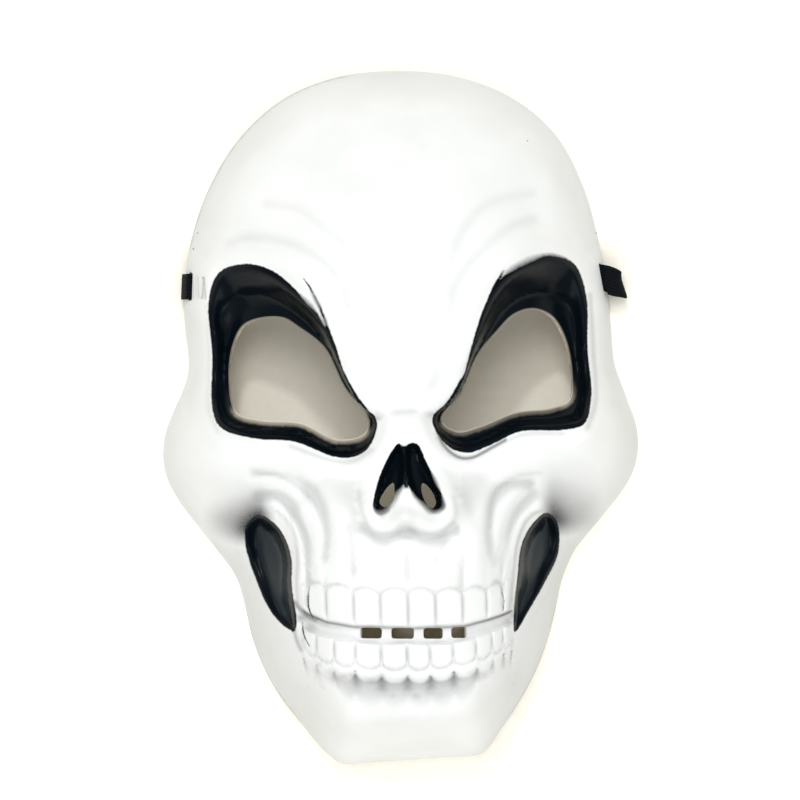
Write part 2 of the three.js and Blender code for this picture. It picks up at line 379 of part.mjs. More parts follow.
// ---------------------------------------------------------------- the shell: outer face, inner face, rims
const used = new Map(), verts = [];
const outer = pts.map((p, i) => { const q = unflat(p.x, p.y); return new THREE.Vector3(q.x, q.y, height(q.x, q.y)); });
for (const i of loopsIdx[0]) { const q = polar(outer[i].x, outer[i].y); outer[i].z = rimLift(q.b); }
let normal = outer.map(() => new THREE.Vector3());
const ab = new THREE.Vector3(), ac = new THREE.Vector3();
for (const [a, b, c] of tris) { ab.subVectors(outer[b], outer[a]); ac.subVectors(outer[c], outer[a]); const n = ab.clone().cross(ac).normalize(); for (const i of [a, b, c]) normal[i].add(n); }
for (let round = 0; round < 2; round++) {
  const next = normal.map(n => n.clone().normalize());
  for (const [a, b, c] of tris) { const m = normal[a].clone().normalize().add(normal[b].clone().normalize()).add(normal[c].clone().normalize()).multiplyScalar(0.12); for (const i of [a, b, c]) next[i].add(m); }
  normal = next;
}
const inner = outer.map((p, i) => p.clone().addScaledVector(normal[i].normalize(), -WALL));
for (const i of loopsIdx[0]) { // the rim is cut flat
  const n = new THREE.Vector3(normal[i].x, normal[i].y, 0).normalize();
  inner[i].copy(outer[i]).addScaledVector(n, -WALL * 1.04);
}
for (let i = 0; i < pts.length; i++) if (!loopsIdx[0].includes(i)) { const q = polar(inner[i].x, inner[i].y); inner[i].z = Math.max(inner[i].z, rimLift(q.b) + 0.6); }

const N = pts.length, pos = new Float32Array(N * 6), index = [];
outer.forEach((p, i) => pos.set([p.x, p.y, p.z], i * 3)); inner.forEach((p, i) => pos.set([p.x, p.y, p.z], (N + i) * 3));
for (const [a, b, c] of tris) index.push(a, b, c, N + a, N + c, N + b);
const count = new Map(); // border edges of the sheet, each once
for (const t of tris) for (let k = 0; k < 3; k++) { const u = t[k], v = t[(k + 1) % 3]; if (count.has(v * 100000 + u)) count.delete(v * 100000 + u); else count.set(u * 100000 + v, [u, v]); }
for (const [u, v] of count.values()) index.push(u, N + u, v, v, N + u, N + v);
const rimEdges = loopsIdx.reduce((s, l) => s + l.length, 0);
if (count.size !== rimEdges) throw new Error(`border edges ${count.size}, expected ${rimEdges}`);

const solid = (positions, idx) => {
  const map = new Map(), out = [], id = [];
  for (let i = 0; i < positions.length; i += 3) id.push(i / 3);
  const usedIds = [...new Set(idx)]; usedIds.forEach((v, k) => { map.set(v, k); out.push(positions[v * 3], positions[v * 3 + 1], positions[v * 3 + 2]); });
  const g = new THREE.BufferGeometry();
  g.setAttribute('position', new THREE.BufferAttribute(new Float32Array(out), 3));
  g.setIndex(idx.map(v => map.get(v))); g.computeVertexNormals();
  return g;
};
const shellGeometry = solid(pos, index);

// ---------------------------------------------------------------- the strap: a flat ribbon laid along a route
// Each end: from the sewn tab inside, under the rim, up the outside, in through the slot, down to the floor.
// lean = turn of the ribbon's width away from Y, in degrees
const LEFT_END = table('x y z lean', [
  [-62.5, 51, 0.8, 0], [-69, 51, 0.8, 0], [-73.5, 51, 1.1, 0], [-76.4, 51, 2.5, -1], [-78.6, 51, 3.25, -2], [-79.8, 51, 3.45, -3],
  [-80.3, 51, 4.5, -4], [-79.9, 51, 6.0, -4], [-79.4, 51, 8.0, -4], [-78.9, 51, 9.8, -4], [-78.2, 51, 11.1, -4], [-77.2, 51, 11.3, -4],
  [-76.2, 51, 10.9, -3], [-75.4, 51, 10.0, -3], [-75.1, 51, 8.6, -2], [-74.9, 51, 6.4, -1], [-74.2, 51, 4.3, 0], [-72.4, 51, 2.8, 0],
  [-69, 51, 2.15, 0], [-63, 51, 2.1, 0], [-57.5, 51, 1.2, 0],
]);
const RIGHT_END = table('x y z lean', [
  [62.5, 50.6, 0.8, 0], [69, 50.5, 0.8, 0], [74, 50.0, 1.1, 3], [78, 49.2, 1.7, 8], [81.6, 48.1, 2.2, 12], [84.0, 47.3, 3.7, 15],
  [84.4, 47.0, 6.0, 17], [83.0, 47.6, 8.2, 16], [80.7, 49.0, 9.1, 11], [78.8, 49.9, 8.95, 9.5], [76.95, 50.4, 8.3, 9],
  [75.3, 50.6, 7.8, 9], [74.0, 50.7, 6.7, 9], [73.1, 50.8, 4.4, 7], [71.6, 50.8, 2.9, 3], [68.5, 50.7, 2.15, 0],
  [63, 50.6, 2.1, 0], [57.5, 50.6, 1.2, 0],
]);
const bow = []; // the slack between the ends, turned on its edge
for (let i = 0; i <= 40; i++) { const x = -STRAP_BOW_HALF + 2 * STRAP_BOW_HALF * i / 40; bow.push({ x, y: 50.8 + STRAP_SAG * (0.5 + 0.5 * Math.cos(Math.PI * x / STRAP_BOW_HALF)), z: 0, lean: 0 }); }
const route = through([...LEFT_END, ...bow, ...RIGHT_END.slice().reverse()], false, 2);
const leanAt = [...LEFT_END, ...bow, ...RIGHT_END.slice().reverse()].map(r => r.lean);
const alongX = p => smooth((STRAP_BOW_HALF - Math.abs(p.x)) / 22); // 0 flat on the floor, 1 on its edge
const isBow = k => k >= (LEFT_END.length - 1) * 2 && k <= (LEFT_END.length + bow.length) * 2;
route.forEach((p, k) => { if (isBow(k)) { const e = alongX(p) * Math.PI / 2; p.z = Math.max(p.z, GAP + 0.5 * STRAP_THICK * Math.cos(e) + 0.5 * STRAP_WIDE * Math.sin(e)); } });
const ribbon = (line, wide, thick) => {
  const v = [], idx = [], n = line.length;
  line.forEach((p, k) => {
    const T = line[Math.min(n - 1, k + 1)].clone().sub(line[Math.max(0, k - 1)]).normalize();
    const s = k / 2, i = Math.min(leanAt.length - 2, Math.floor(s)), lean = (leanAt[i] + (leanAt[i + 1] - leanAt[i]) * (s - i)) * RAD;
    let W = new THREE.Vector3(-Math.sin(lean), Math.cos(lean), 0);
    const up = new THREE.Vector3(0, 0, 1), e = isBow(k) ? alongX(p) * Math.PI / 2 : 0;
    W.addScaledVector(T, -W.dot(T)).normalize();
    const side = new THREE.Vector3().crossVectors(up, T).normalize(); // across the route, in the floor plane
    if (isBow(k)) W = side.multiplyScalar(Math.cos(e)).addScaledVector(up.clone().addScaledVector(T, -T.z).normalize(), Math.sin(e)).normalize();
    const H = new THREE.Vector3().crossVectors(T, W).normalize();
    for (const [a, b] of [[-1, -1], [1, -1], [1, 1], [-1, 1]]) { const q = p.clone().addScaledVector(W, a * wide / 2).addScaledVector(H, b * thick / 2); v.push(q.x, q.y, q.z); }
    if (k) for (let j = 0; j < 4; j++) { const a = 4 * (k - 1) + j, b = 4 * (k - 1) + (j + 1) % 4; idx.push(a, b, b + 4, a, b + 4, a + 4); }
  });
  const e = 4 * (n - 1); idx.push(0, 3, 2, 0, 2, 1, e, e + 1, e + 2, e, e + 2, e + 3);
  return solid(v, idx);
};
const strapGeometry = ribbon(route, STRAP_WIDE, STRAP_THICK);
let strapLong = 0; for (let i = 1; i < route.length; i++) strapLong += route[i].distanceTo(route[i - 1]);

// ---------------------------------------------------------------- the two pieces
const group = new THREE.Group(); group.name = 'skull_mask';
const piece = (name, geometry, material) => { geometry.translate(SET_OVER.x, SET_OVER.y, 0); const m = new THREE.Mesh(geometry, material); m.name = name; group.add(m); };
piece('mask_shell', shellGeometry, new THREE.MeshStandardMaterial({ name: 'white_plastic', color: 0xf1f1ef, roughness: 0.38, metalness: 0 }));
piece('elastic_strap', strapGeometry, new THREE.MeshStandardMaterial({ name: 'black_elastic', color: 0x16181b, roughness: 0.85, metalness: 0 }));
console.log(`shell ${index.length / 3} triangles, strap ${strapLong.toFixed(0)} mm long`);
export default group;
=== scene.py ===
import math
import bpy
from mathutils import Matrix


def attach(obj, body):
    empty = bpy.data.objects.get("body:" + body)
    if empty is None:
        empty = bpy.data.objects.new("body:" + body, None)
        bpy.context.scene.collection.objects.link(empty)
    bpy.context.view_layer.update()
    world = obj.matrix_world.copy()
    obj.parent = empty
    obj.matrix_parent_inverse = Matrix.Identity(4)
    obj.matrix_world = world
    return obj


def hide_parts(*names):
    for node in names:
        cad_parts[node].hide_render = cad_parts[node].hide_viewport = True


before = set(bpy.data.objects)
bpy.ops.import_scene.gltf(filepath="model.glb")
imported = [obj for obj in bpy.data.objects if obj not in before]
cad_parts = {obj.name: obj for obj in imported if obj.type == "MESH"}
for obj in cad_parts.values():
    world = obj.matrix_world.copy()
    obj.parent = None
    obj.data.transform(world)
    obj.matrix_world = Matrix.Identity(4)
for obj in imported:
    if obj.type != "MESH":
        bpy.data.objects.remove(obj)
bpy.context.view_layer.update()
import bpy
import numpy as np
from mathutils import Vector
from mathutils.geometry import delaunay_2d_cdt
from mathutils.kdtree import KDTree

# Skull mask, face up on its rim. Tables in mm, in the same frame as the CAD part.
WALL = 1.5
DOME_RISE = 62.0
WALL_LEAN = math.radians(78)
CX, CY = 2.0, 4.0
GAP = 0.3
STRAP_WIDE, STRAP_THICK = 9.6, 1.0
STRAP_SAG, STRAP_BOW_HALF = 62.0, 52.0
SET_X, SET_Y = 0.25, -0.25
TOOTH_RISE, ROOT_RISE, MOUTH_DROP, ROOT_GAP_DROP = 1.5, 0.9, 2.6, 1.6


def table(names, rows):
    return [dict(zip(names.split(), r)) for r in rows]


def fold(name, rise, wide, pts):
    return {"name": name, "rise": rise, "wide": wide, "pts": table("x y", pts)}


OUTLINE = table('bearing reach bluff', [
  [0, 125.9, 1.35], [10, 125.2, 1.35], [20, 122.6, 1.3], [30, 116.7, 1.25], [40, 106.5, 1.15], [50, 96.1, 1.1],
  [60, 88.1, 1.0], [70, 82.8, 1.0], [80, 80.0, 1.0], [90, 83.3, 1.0], [95, 86.2, 1.0], [100, 88.2, 1.0], [105, 88.9, 1.0],
  [110, 88.0, 1.0], [120, 84.5, 1.0], [130, 82.9, 1.05], [135, 84.4, 1.1], [140, 88.0, 1.2], [145, 94.4, 1.3], [150, 102.0, 1.45],
  [155, 110.0, 1.85], [160, 117.8, 2.2], [165, 126.0, 2.6], [169, 133.0, 2.85], [174.5, 132.2, 2.95], [180, 132.2, 3.0],
  [186, 133.5, 2.95], [191.6, 135.8, 2.85], [195, 132.1, 2.6], [200, 124.6, 2.2], [205, 118.2, 1.85], [210, 111.3, 1.6],
  [215, 104.0, 1.35], [220, 96.4, 1.2], [225, 91.0, 1.1], [230, 88.9, 1.0], [240, 89.4, 1.0], [250, 92.3, 1.0], [255, 93.4, 1.0],
  [260, 92.8, 1.0], [265, 90.6, 1.0], [270, 87.2, 1.0], [275, 84.0, 1.0], [280, 82.5, 1.0], [285, 83.8, 1.0], [290, 87.0, 1.0],
  [300, 94.0, 1.0], [310, 102.2, 1.1], [320, 110.5, 1.15], [330, 118.4, 1.25], [340, 124.1, 1.3], [350, 126.1, 1.35],
])
SCALLOPS = table('bearing half rise', [[300.5, 9, 4.2], [59.5, 9, 4.2]])
MOUNDS = table('at x y sx sy rise', [
  ['forehead', 3, 64, 52, 42, 10], ['browLeft', -40, 60, 26, 12, 2.5], ['browRight', 44, 60, 24, 12, 2.5],
  ['glabella', 1, 24, 13, 26, 5.5], ['cheekboneLeft', -68, -11, 15, 14, 9], ['cheekboneRight', 71, -9, 14, 14, 9],
  ['underEyeLeft', -36, -18, 20, 8, 4], ['underEyeRight', 40, -18, 19, 8, 4], ['muzzle', 0, -66, 33, 31, 8],
  ['nose', 2.3, -27, 13, 17, 11], ['nasalBone', 1.5, -4, 8.5, 9, 5], ['chin', 0, -113, 26, 15, 10],
  ['chinDip', 0, -99, 26, 5, -2.5], ['jawLeft', -50, -92, 10, 16, 2], ['jawRight', 49, -92, 10, 16, 2],
])
DEPTHS = table('edge opening shallow deep low high wall', [ 
  ['socketLeft', 'openingLeft', 6.5, 13, 0, 44, 0.78], ['socketRight', 'openingRight', 6.5, 13, 0, 44, 0.78],
])
PITS = table('edge depth wall', [['hollowLeft', 7, 5], ['hollowRight', 7, 5], ['noseLeft', 6, 2.6], ['noseRight', 6, 2.6]])
UPPER = table('x gum bite', [
  [-40.5, -60.8, -68.3], [-36.6, -60.6, -71.8], [-29.5, -60.8, -75], [-19.3, -62.2, -76.9], [-9.3, -63.2, -77.3], [1, -62.7, -78],
  [11.2, -63.7, -77.9], [21.4, -63.6, -77.8], [30.3, -63.5, -75.8], [36.2, -61.8, -74.1], [39.8, -59.8, -72.7],
])
LOWER = table('x top root', [
  [-38.4, -76.2, -85.5], [-33.6, -78.9, -89], [-27, -80.6, -91.4], [-19.2, -81.8, -92.4], [-9.5, -82.9, -93.6], [0.2, -82.9, -94],
  [8.7, -83.4, -94], [17.3, -83.2, -93], [25.9, -81.6, -91.6], [31.9, -79.9, -89], [36, -78.5, -87.4], [39, -77.1, -85.6],
])
SLOTS = table('name x y wide tall lean', [
  ['mouth1', -13.0, -79.5, 8.0, 4.0, -2], ['mouth2', -1.3, -79.9, 8.4, 4.0, -2], ['mouth3', 10.0, -80.2, 7.2, 4.0, -2],
  ['mouth4', 19.6, -80.2, 5.8, 4.0, -1], ['strapLeftOuter', -77.3, 51.0, 1.5, 10.8, -3], ['strapLeftInner', -72.7, 50.2, 1.1, 8.4, -5],
  ['strapRightOuter', 76.9, 50.4, 1.0, 11, 9],
])
LEFT_END = table('x y z lean', [
  [-62.5, 51, 0.8, 0], [-69, 51, 0.8, 0], [-73.5, 51, 1.1, 0], [-76.4, 51, 2.5, -1], [-78.6, 51, 3.25, -2], [-79.8, 51, 3.45, -3],
  [-80.3, 51, 4.5, -4], [-79.9, 51, 6.0, -4], [-79.4, 51, 8.0, -4], [-78.9, 51, 9.8, -4], [-78.2, 51, 11.1, -4], [-77.2, 51, 11.3, -4],
  [-76.2, 51, 10.9, -3], [-75.4, 51, 10.0, -3], [-75.1, 51, 8.6, -2], [-74.9, 51, 6.4, -1], [-74.2, 51, 4.3, 0], [-72.4, 51, 2.8, 0],
  [-69, 51, 2.15, 0], [-63, 51, 2.1, 0], [-57.5, 51, 1.2, 0],
])
RIGHT_END = table('x y z lean', [
  [62.5, 50.6, 0.8, 0], [69, 50.5, 0.8, 0], [74, 50.0, 1.1, 3], [78, 49.2, 1.7, 8], [81.6, 48.1, 2.2, 12], [84.0, 47.3, 3.7, 15],
  [84.4, 47.0, 6.0, 17], [83.0, 47.6, 8.2, 16], [80.7, 49.0, 9.1, 11], [78.8, 49.9, 8.95, 9.5], [76.95, 50.4, 8.3, 9],
  [75.3, 50.6, 7.8, 9], [74.0, 50.7, 6.7, 9], [73.1, 50.8, 4.4, 7], [71.6, 50.8, 2.9, 3], [68.5, 50.7, 2.15, 0],
  [63, 50.6, 2.1, 0], [57.5, 50.6, 1.2, 0],
])
FOLDS = [
  fold('browLeftLow', -1.3, 4, [[-57, 68.7], [-47, 68.4], [-37, 65.2], [-27.7, 58.6], [-19, 51]]),
  fold('browLeftHigh', -1.1, 4.5, [[-47, 81], [-36, 79], [-27, 72], [-19, 64.7]]),
  fold('browRightLow', -1.3, 4, [[51, 72.5], [42.6, 69.8], [34.5, 63.5], [25.4, 53.5], [21.5, 46.5]]),
  fold('browRightHigh', -1.1, 4.5, [[50.7, 82], [37.6, 79.6], [30, 75], [24, 67]]),
  fold('foreheadMidLeft', 0.6, 2.2, [[-4, 82], [-4.5, 62], [-3, 45]]),
  fold('foreheadMidRight', 0.6, 2.2, [[6, 82], [6.5, 62], [5, 45]]),
  fold('shelf', -1.6, 2.2, [[-8.4, 0.6], [-4, 1.9], [1.7, 2.4], [7.3, 2], [11.4, 0.5]]),
  fold('cheekLeftOuter', -1.5, 2.6, [[-55, -19.2], [-44.6, -20.2], [-37.6, -22.6], [-33.3, -27.6], [-29.7, -34.4], [-28.1, -43], [-29.4, -50.8]]),
  fold('cheekLeftInner', -1.5, 2.4, [[-53.4, -27.8], [-47.8, -27.2], [-43.7, -29.2], [-40.4, -35.2], [-36.8, -45], [-35.6, -59]]),
  fold('cheekRightInner', -1.5, 2.4, [[47, -25.6], [38.9, -26.5], [34.4, -30.5], [32.3, -36.8], [31.7, -47.5], [34.3, -63]]),
  fold('cheekRightOuter', -1.4, 2.2, [[48.5, -30.1], [44.3, -34.5], [40.4, -41.4], [38.6, -50.3], [38.3, -57.8]]),
  fold('rootLeft', -0.8, 2.4, [[-21, -40], [-19.6, -46.6], [-19.1, -56]]),
  fold('rootRight', -0.8, 2.4, [[15.7, -46], [12.6, -53]]),
  fold('rootFarRight', -0.8, 2.4, [[24.7, -45], [22.2, -55], [21, -62]]),
  fold('philtrum', -0.9, 3.0, [[1, -45], [1, -58]]),
  fold('noseLobeLeft', 3.2, 3.4, [[-13.6, -33], [-12.2, -38], [-8.6, -40.6], [-4.5, -40.2], [0.6, -36.8]]),
  fold('noseLobeRight', 3.2, 3.4, [[0.6, -36.8], [5.5, -38.4], [9.5, -40.8], [14, -40.6], [17.4, -37.6], [18, -32]]),
  fold('underLobes', -1.6, 2.4, [[-15.5, -41], [-8, -45.6], [0.6, -43], [9, -46], [19.5, -42.5]]),
  fold('templeRight', -0.9, 1.6, [[64.4, 65], [69.4, 57.9], [72.9, 49.6], [73.4, 38.8], [73.2, 21]]),
  fold('cornerLeft', -2.0, 2.6, [[-40, -68], [-36, -76]]),
  fold('cornerRight', -2.0, 2.6, [[41.5, -68], [39.5, -75]]),
  fold('hollowLipLeft', 1.5, 2.4, [[-52, -32.6], [-45.6, -35.2], [-40.6, -42], [-38.7, -52], [-39.3, -62], [-38.6, -70]]),
  fold('hollowLipRight', 1.5, 2.4, [[51, -35.4], [45, -39], [41, -47], [39.4, -56], [38.4, -66]]),
]
FOLDS += [
  fold('ledgeLeft', -1.2, 1.7, [[-67.4, 35.1], [-66.1, 41], [-61.5, 45.3], [-56.3, 46.7], [-49.2, 46.5], [-42.2, 43.3], [-35.7, 38], [-28, 30.7]]),
  fold('ledgeRight', -1.2, 1.7, [[40.3, 37.8], [46.7, 42.1], [52.7, 43.8], [59, 43.3], [63.7, 39.8], [66.6, 33.4], [67.8, 25.9]]),
]
EDGES = {
  'socketLeft': table('x y', [[-56, 58.6], [-46, 55.7], [-35.4, 46.1], [-29.0, 38.5], [-23.2, 24.3], [-18.7, 13.4], [-14.4, 5.0], [-8.8, -1.0], [-12, -10.7],
    [-18, -14.2], [-25.5, -13.7], [-39.1, -8.1], [-55.4, -6.2], [-67, -2], [-70, 5], [-69.7, 25.4], [-70.4, 45.9], [-66, 56]]),
  'socketRight': table('x y', [[57.5, 59.3], [66.2, 55.6], [70.5, 43.7], [70.5, 24], [71.3, 5.8], [68.2, -4.2], [60.7, -6.2], [45.4, -6.2],
    [41.3, -7.3], [36.8, -9.4], [31.1, -11.9], [25.6, -13.7], [20.7, -13.0], [17.6, -11.3], [14.8, -8.4], [11.7, -0.5], [20.6, 8], [27.6, 25.1], [34.1, 44.3], [41, 53], [50.8, 58]]),
  'openingLeft': table('x y', [[-56.9, 36.3], [-43.5, 38.2], [-36.9, 34.3], [-27.6, 26.4], [-20.5, 11.5], [-12.4, 0.9], [-11.9, -2.5],
    [-14.5, -6.2], [-24.2, -7.4], [-36.7, -1.1], [-51.9, 0.4], [-61, 3.6], [-63.3, 14], [-61.8, 28]]),
  'openingRight': table('x y', [[50.7, 39], [57.5, 36], [62.2, 27.5], [64.2, 13.8], [63, 5], [56.4, 2.1], [43, 0.9], [29.5, -3.9], [20.8, -5.6],
    [15.2, -1.1], [22.7, 8.5], [29.5, 22.6], [36.3, 30.5], [43.4, 37.2]]),
  'hollowLeft': table('x y', [[-53.6, -34.9], [-58.3, -38.4], [-59.2, -45.5], [-56, -57.9], [-50.4, -70.8], [-45.0, -76.8], [-41.4, -78.3], [-41.0, -73],
    [-42, -61.2], [-42, -50.4], [-45.5, -41], [-50, -36.4]]),
  'hollowRight': table('x y', [[53.5, -36.9], [57.4, -40.6], [57.6, -52.3], [52.9, -61.9], [46.3, -72.5], [40.4, -81], [40.2, -73.4],
    [41.8, -60.8], [43.8, -48.2], [48.4, -40.4]]),
  'noseLeft': table('x y', [[-0.8, -9.5], [-5, -14.6], [-9.8, -26], [-10.8, -34], [-8, -36.4], [-2.1, -31.4], [0.8, -24], [1.0, -14]]),
  'noseRight': table('x y', [[1.9, -10.4], [5.6, -9.7], [9.4, -17.2], [14.3, -28.1], [15.6, -34], [12.6, -36.2], [5.7, -32.3], [2.0, -24]]),
  'nostrilLeft': table('x y', [[-3.4, -23.9], [-7.0, -27.6], [-8.6, -31.4], [-6.6, -33.1], [-3.7, -31], [-2.9, -26.6]]),
  'nostrilRight': table('x y', [[7.6, -24.4], [7, -27.2], [8.7, -32], [10.8, -34], [12.3, -32], [10.6, -27.2]]),
}


# ---------------------------------------------------------------- small tools
def smooth(t):
    t = np.clip(t, 0.0, 1.0)
    return t * t * (3 - 2 * t)


def catmull(pts, closed, per):
    """The centripetal Catmull-Rom line of the CAD part."""
    P = np.array([[p["x"], p["y"], p.get("z", 0.0)] for p in pts], float)
    n = len(P)
    spans = n if closed else n - 1
    out = []
    for i in range(spans):
        p1, p2 = P[i % n], P[(i + 1) % n]
        p0 = P[(i - 1) % n] if closed or i > 0 else 2 * P[0] - P[1]
        p3 = P[(i + 2) % n] if closed or i + 2 < n else 2 * P[-1] - P[-2]
        d0 = max(np.sum((p1 - p0) ** 2) ** 0.25, 1e-4)
        d1 = max(np.sum((p2 - p1) ** 2) ** 0.25, 1e-4)
        d2 = max(np.sum((p3 - p2) ** 2) ** 0.25, 1e-4)
        t1 = ((p1 - p0) / d0 - (p2 - p0) / (d0 + d1) + (p2 - p1) / d1) * d1
        t2 = ((p2 - p1) / d1 - (p3 - p1) / (d1 + d2) + (p3 - p2) / d2) * d1
        for k in range(per):
            w = k / per
            out.append(p1 + t1 * w + (-3 * p1 + 3 * p2 - 2 * t1 - t2) * w ** 2 + (2 * p1 - 2 * p2 + t1 + t2) * w ** 3)
    if not closed:
        out.append(P[-1])
    return np.array(out)


def evenly(line, gap):
    Q = np.vstack([line[:, :2], line[:1, :2]])
    L = np.concatenate([[0], np.cumsum(np.hypot(*np.diff(Q, axis=0).T))])
    m = max(8, int(round(L[-1] / gap)))
    s = L[-1] * np.arange(m) / m
    return np.stack([np.interp(s, L, Q[:, 0]), np.interp(s, L, Q[:, 1])], 1)


def away(line, X, Y):
    d = np.full(X.shape, 1e9)
    for a, b in zip(line[:-1], line[1:]):
        dx, dy = b[0] - a[0], b[1] - a[1]
        t = np.clip(((X - a[0]) * dx + (Y - a[1]) * dy) / (dx * dx + dy * dy + 1e-12), 0, 1)
        np.minimum(d, np.hypot(X - a[0] - t * dx, Y - a[1] - t * dy), out=d)
    return d


def inside(line, X, Y):
    c = np.zeros(X.shape, bool)
    j = len(line) - 1
    for i in range(len(line)):
        (ax, ay), (bx, by) = line[i][:2], line[j][:2]
        if ay != by:
            c ^= ((ay > Y) != (by > Y)) & (X < (bx - ax) * (Y - ay) / (by - ay) + ax)
        j = i
    return c


def ring(line):
    return np.vstack([line, line[:1]])


def signed(line, X, Y, margin=12.0):
    """Distance to a closed line, negative inside, worked out only near its box."""
    out = np.full(X.shape, 1e3)
    m = (X > line[:, 0].min() - margin) & (X < line[:, 0].max() + margin) & (Y > line[:, 1].min() - margin) & (Y < line[:, 1].max() + margin)
    if m.any():
        x, y = X[m], Y[m]
        d = away(ring(line), x, y)
        out[m] = np.where(inside(line, x, y), -d, d)
    return out


def near_line(line, X, Y, margin):
    out = np.full(X.shape, 1e3)
    m = (X > line[:, 0].min() - margin) & (X < line[:, 0].max() + margin) & (Y > line[:, 1].min() - margin) & (Y < line[:, 1].max() + margin)
    if m.any():
        out[m] = away(line, X[m], Y[m])
    return out


BEAR = np.array([o["bearing"] for o in OUTLINE], float)


def by_bearing(key, B):
    V = np.array([o[key] for o in OUTLINE], float)
    n = len(V)
    B = np.mod(B, 360.0)
    i = np.searchsorted(BEAR, B, "right") - 1
    at = lambda k: (BEAR[np.mod(k, n)] + 360.0 * np.floor_divide(k, n), V[np.mod(k, n)])
    (pb, pv), (qb, qv), (rb, rv), (sb, sv) = at(i - 1), at(i), at(i + 1), at(i + 2)
    h = rb - qb
    t = (B - qb) / h
    m0, m1 = (rv - pv) / (rb - pb) * h, (sv - qv) / (sb - qb) * h
    return (2 * t ** 3 - 3 * t ** 2 + 1) * qv + (t ** 3 - 2 * t ** 2 + t) * m0 + (-2 * t ** 3 + 3 * t ** 2) * rv + (t ** 3 - t ** 2) * m1


def polar(X, Y):
    dx, dy = X - CX, Y - CY
    r = np.hypot(dx, dy)
    b = np.degrees(np.arctan2(dx, dy))
    R, p = by_bearing("reach", b), by_bearing("bluff", b)
    return dx, dy, r, b, R, p, np.minimum(1, r / R)


def dome_at(f, p):
    s = np.arcsin(np.clip(f ** p, 0, 1) * math.sin(WALL_LEAN))
    return (np.cos(s) - math.cos(WALL_LEAN)) / (1 - math.cos(WALL_LEAN))


def rim_lift(b):
    out = np.zeros(np.shape(b))
    for c in SCALLOPS:
        d = np.abs(np.mod(b - c["bearing"] + 540, 360) - 180)
        out = out + c["rise"] * smooth((c["half"] - d) / (0.45 * c["half"]))
    return out


def column(rows, key, X):
    return np.interp(X, [r["x"] for r in rows], [r[key] for r in rows])


LINES = {k: catmull(v, True, 8)[:, :2] for k, v in EDGES.items()}
for f in FOLDS:
    f["line"] = catmull(f["pts"], False, 6)[:, :2]


def teeth(X, Y):
    z = np.zeros(X.shape)
    for rows, upper in ((UPPER, True), (LOWER, False)):
        for a, b in zip(rows[:-1], rows[1:]):
            m = (X >= a["x"]) & (X < b["x"])
            if not m.any():
                continue
            x, y = X[m], Y[m]
            u = 2 * (x - a["x"]) / (b["x"] - a["x"]) - 1
            side = smooth((1 - np.abs(u)) * (b["x"] - a["x"]) / 2 / 1.15)
            arc = 1 - np.sqrt(np.clip(1 - u * u, 0, 1))
            if upper:
                gum = column(UPPER, "gum", x) + 0.3 - 3.2 * arc
                bite = column(UPPER, "bite", x)
                z[m] += TOOTH_RISE * side * smooth((y - bite) / 1.2) * smooth((gum - y) / 1.5)
                z[m] += ROOT_RISE * (1 - u * u) * smooth((y - gum) / 2) * smooth((gum + 17 - y) / 14)
            else:
                top = column(LOWER, "top", x)
                root = column(LOWER, "root", x) + 3.4 * arc
                z[m] += TOOTH_RISE * side * smooth((top - y) / 1.2) * smooth((y - root) / 1.5)
                z[m] += 1.15 * np.exp(-(((y - root + 2.3) / 1.9) ** 2))
                z[m] -= ROOT_GAP_DROP * (0.35 + 0.65 * np.abs(u) ** 3) * smooth((root - 3.9 - y) / 1.6) * smooth((y - root + 12.5) / 6)
    bite, top = column(UPPER, "bite", X), column(LOWER, "top", X)
    m = (Y - top) / (bite - top)
    ends = smooth((X + 41) / 4) * smooth((42 - X) / 4)
    return (z - MOUTH_DROP * smooth((m + 0.25) / 0.4) * smooth((1.2 - m) / 0.4)) * ends


def relief(X, Y):
    z = np.zeros(X.shape)
    for m in MOUNDS:
        z += m["rise"] * np.exp(-(((X - m["x"]) / m["sx"]) ** 2) - (((Y - m["y"]) / m["sy"]) ** 2))
    for f in FOLDS:
        d = near_line(f["line"], X, Y, 3.2 * f["wide"])
        z += f["rise"] * np.exp(-((d / f["wide"]) ** 2))
    for d in DEPTHS:
        o = -signed(LINES[d["edge"]], X, Y)
        z += 1.6 * np.exp(-(((o + 4) / 3.2) ** 2))
        m = o > 0
        i = np.maximum(0, signed(LINES[d["opening"]], X[m], Y[m], 40))
        t = o[m] / (o[m] + i)
        deep = d["shallow"] + (d["deep"] - d["shallow"]) * smooth((Y[m] - d["low"]) / (d["high"] - d["low"]))
        z[m] -= deep * smooth(t / d["wall"])
        z[m] += 0.8 * np.exp(-(((o[m] - 2.3) / 1.3) ** 2)) - 0.55 * np.exp(-(((o[m] - 4.5) / 0.8) ** 2)) * smooth((-18 - Y[m] + 26) / 8)
    for p in PITS:
        o = -signed(LINES[p["edge"]], X, Y)
        z -= p["depth"] * smooth((o + 0.2) / p["wall"])
    m = (X > -42) & (X < 42) & (Y < -38) & (Y > -108)
    z[m] += teeth(X[m], Y[m])
    return z


def height(X, Y):
    dx, dy, r, b, R, p, f = polar(X, Y)
    s = np.arcsin(np.clip(f ** p, 0, 1) * math.sin(WALL_LEAN)) / WALL_LEAN
    return DOME_RISE * dome_at(f, p) + relief(X, Y) * smooth((1 - f) / 0.13) + rim_lift(b) * smooth((f - 0.82) / 0.17)


def to_plane(X, Y):
    dx, dy, r, b, R, p, f = polar(X, Y)
    k = np.where(r > 1e-6, (R * f + 0.5 * DOME_RISE * (1 - dome_at(f, p))) / np.maximum(r, 1e-9), 1)
    return dx * k, dy * k


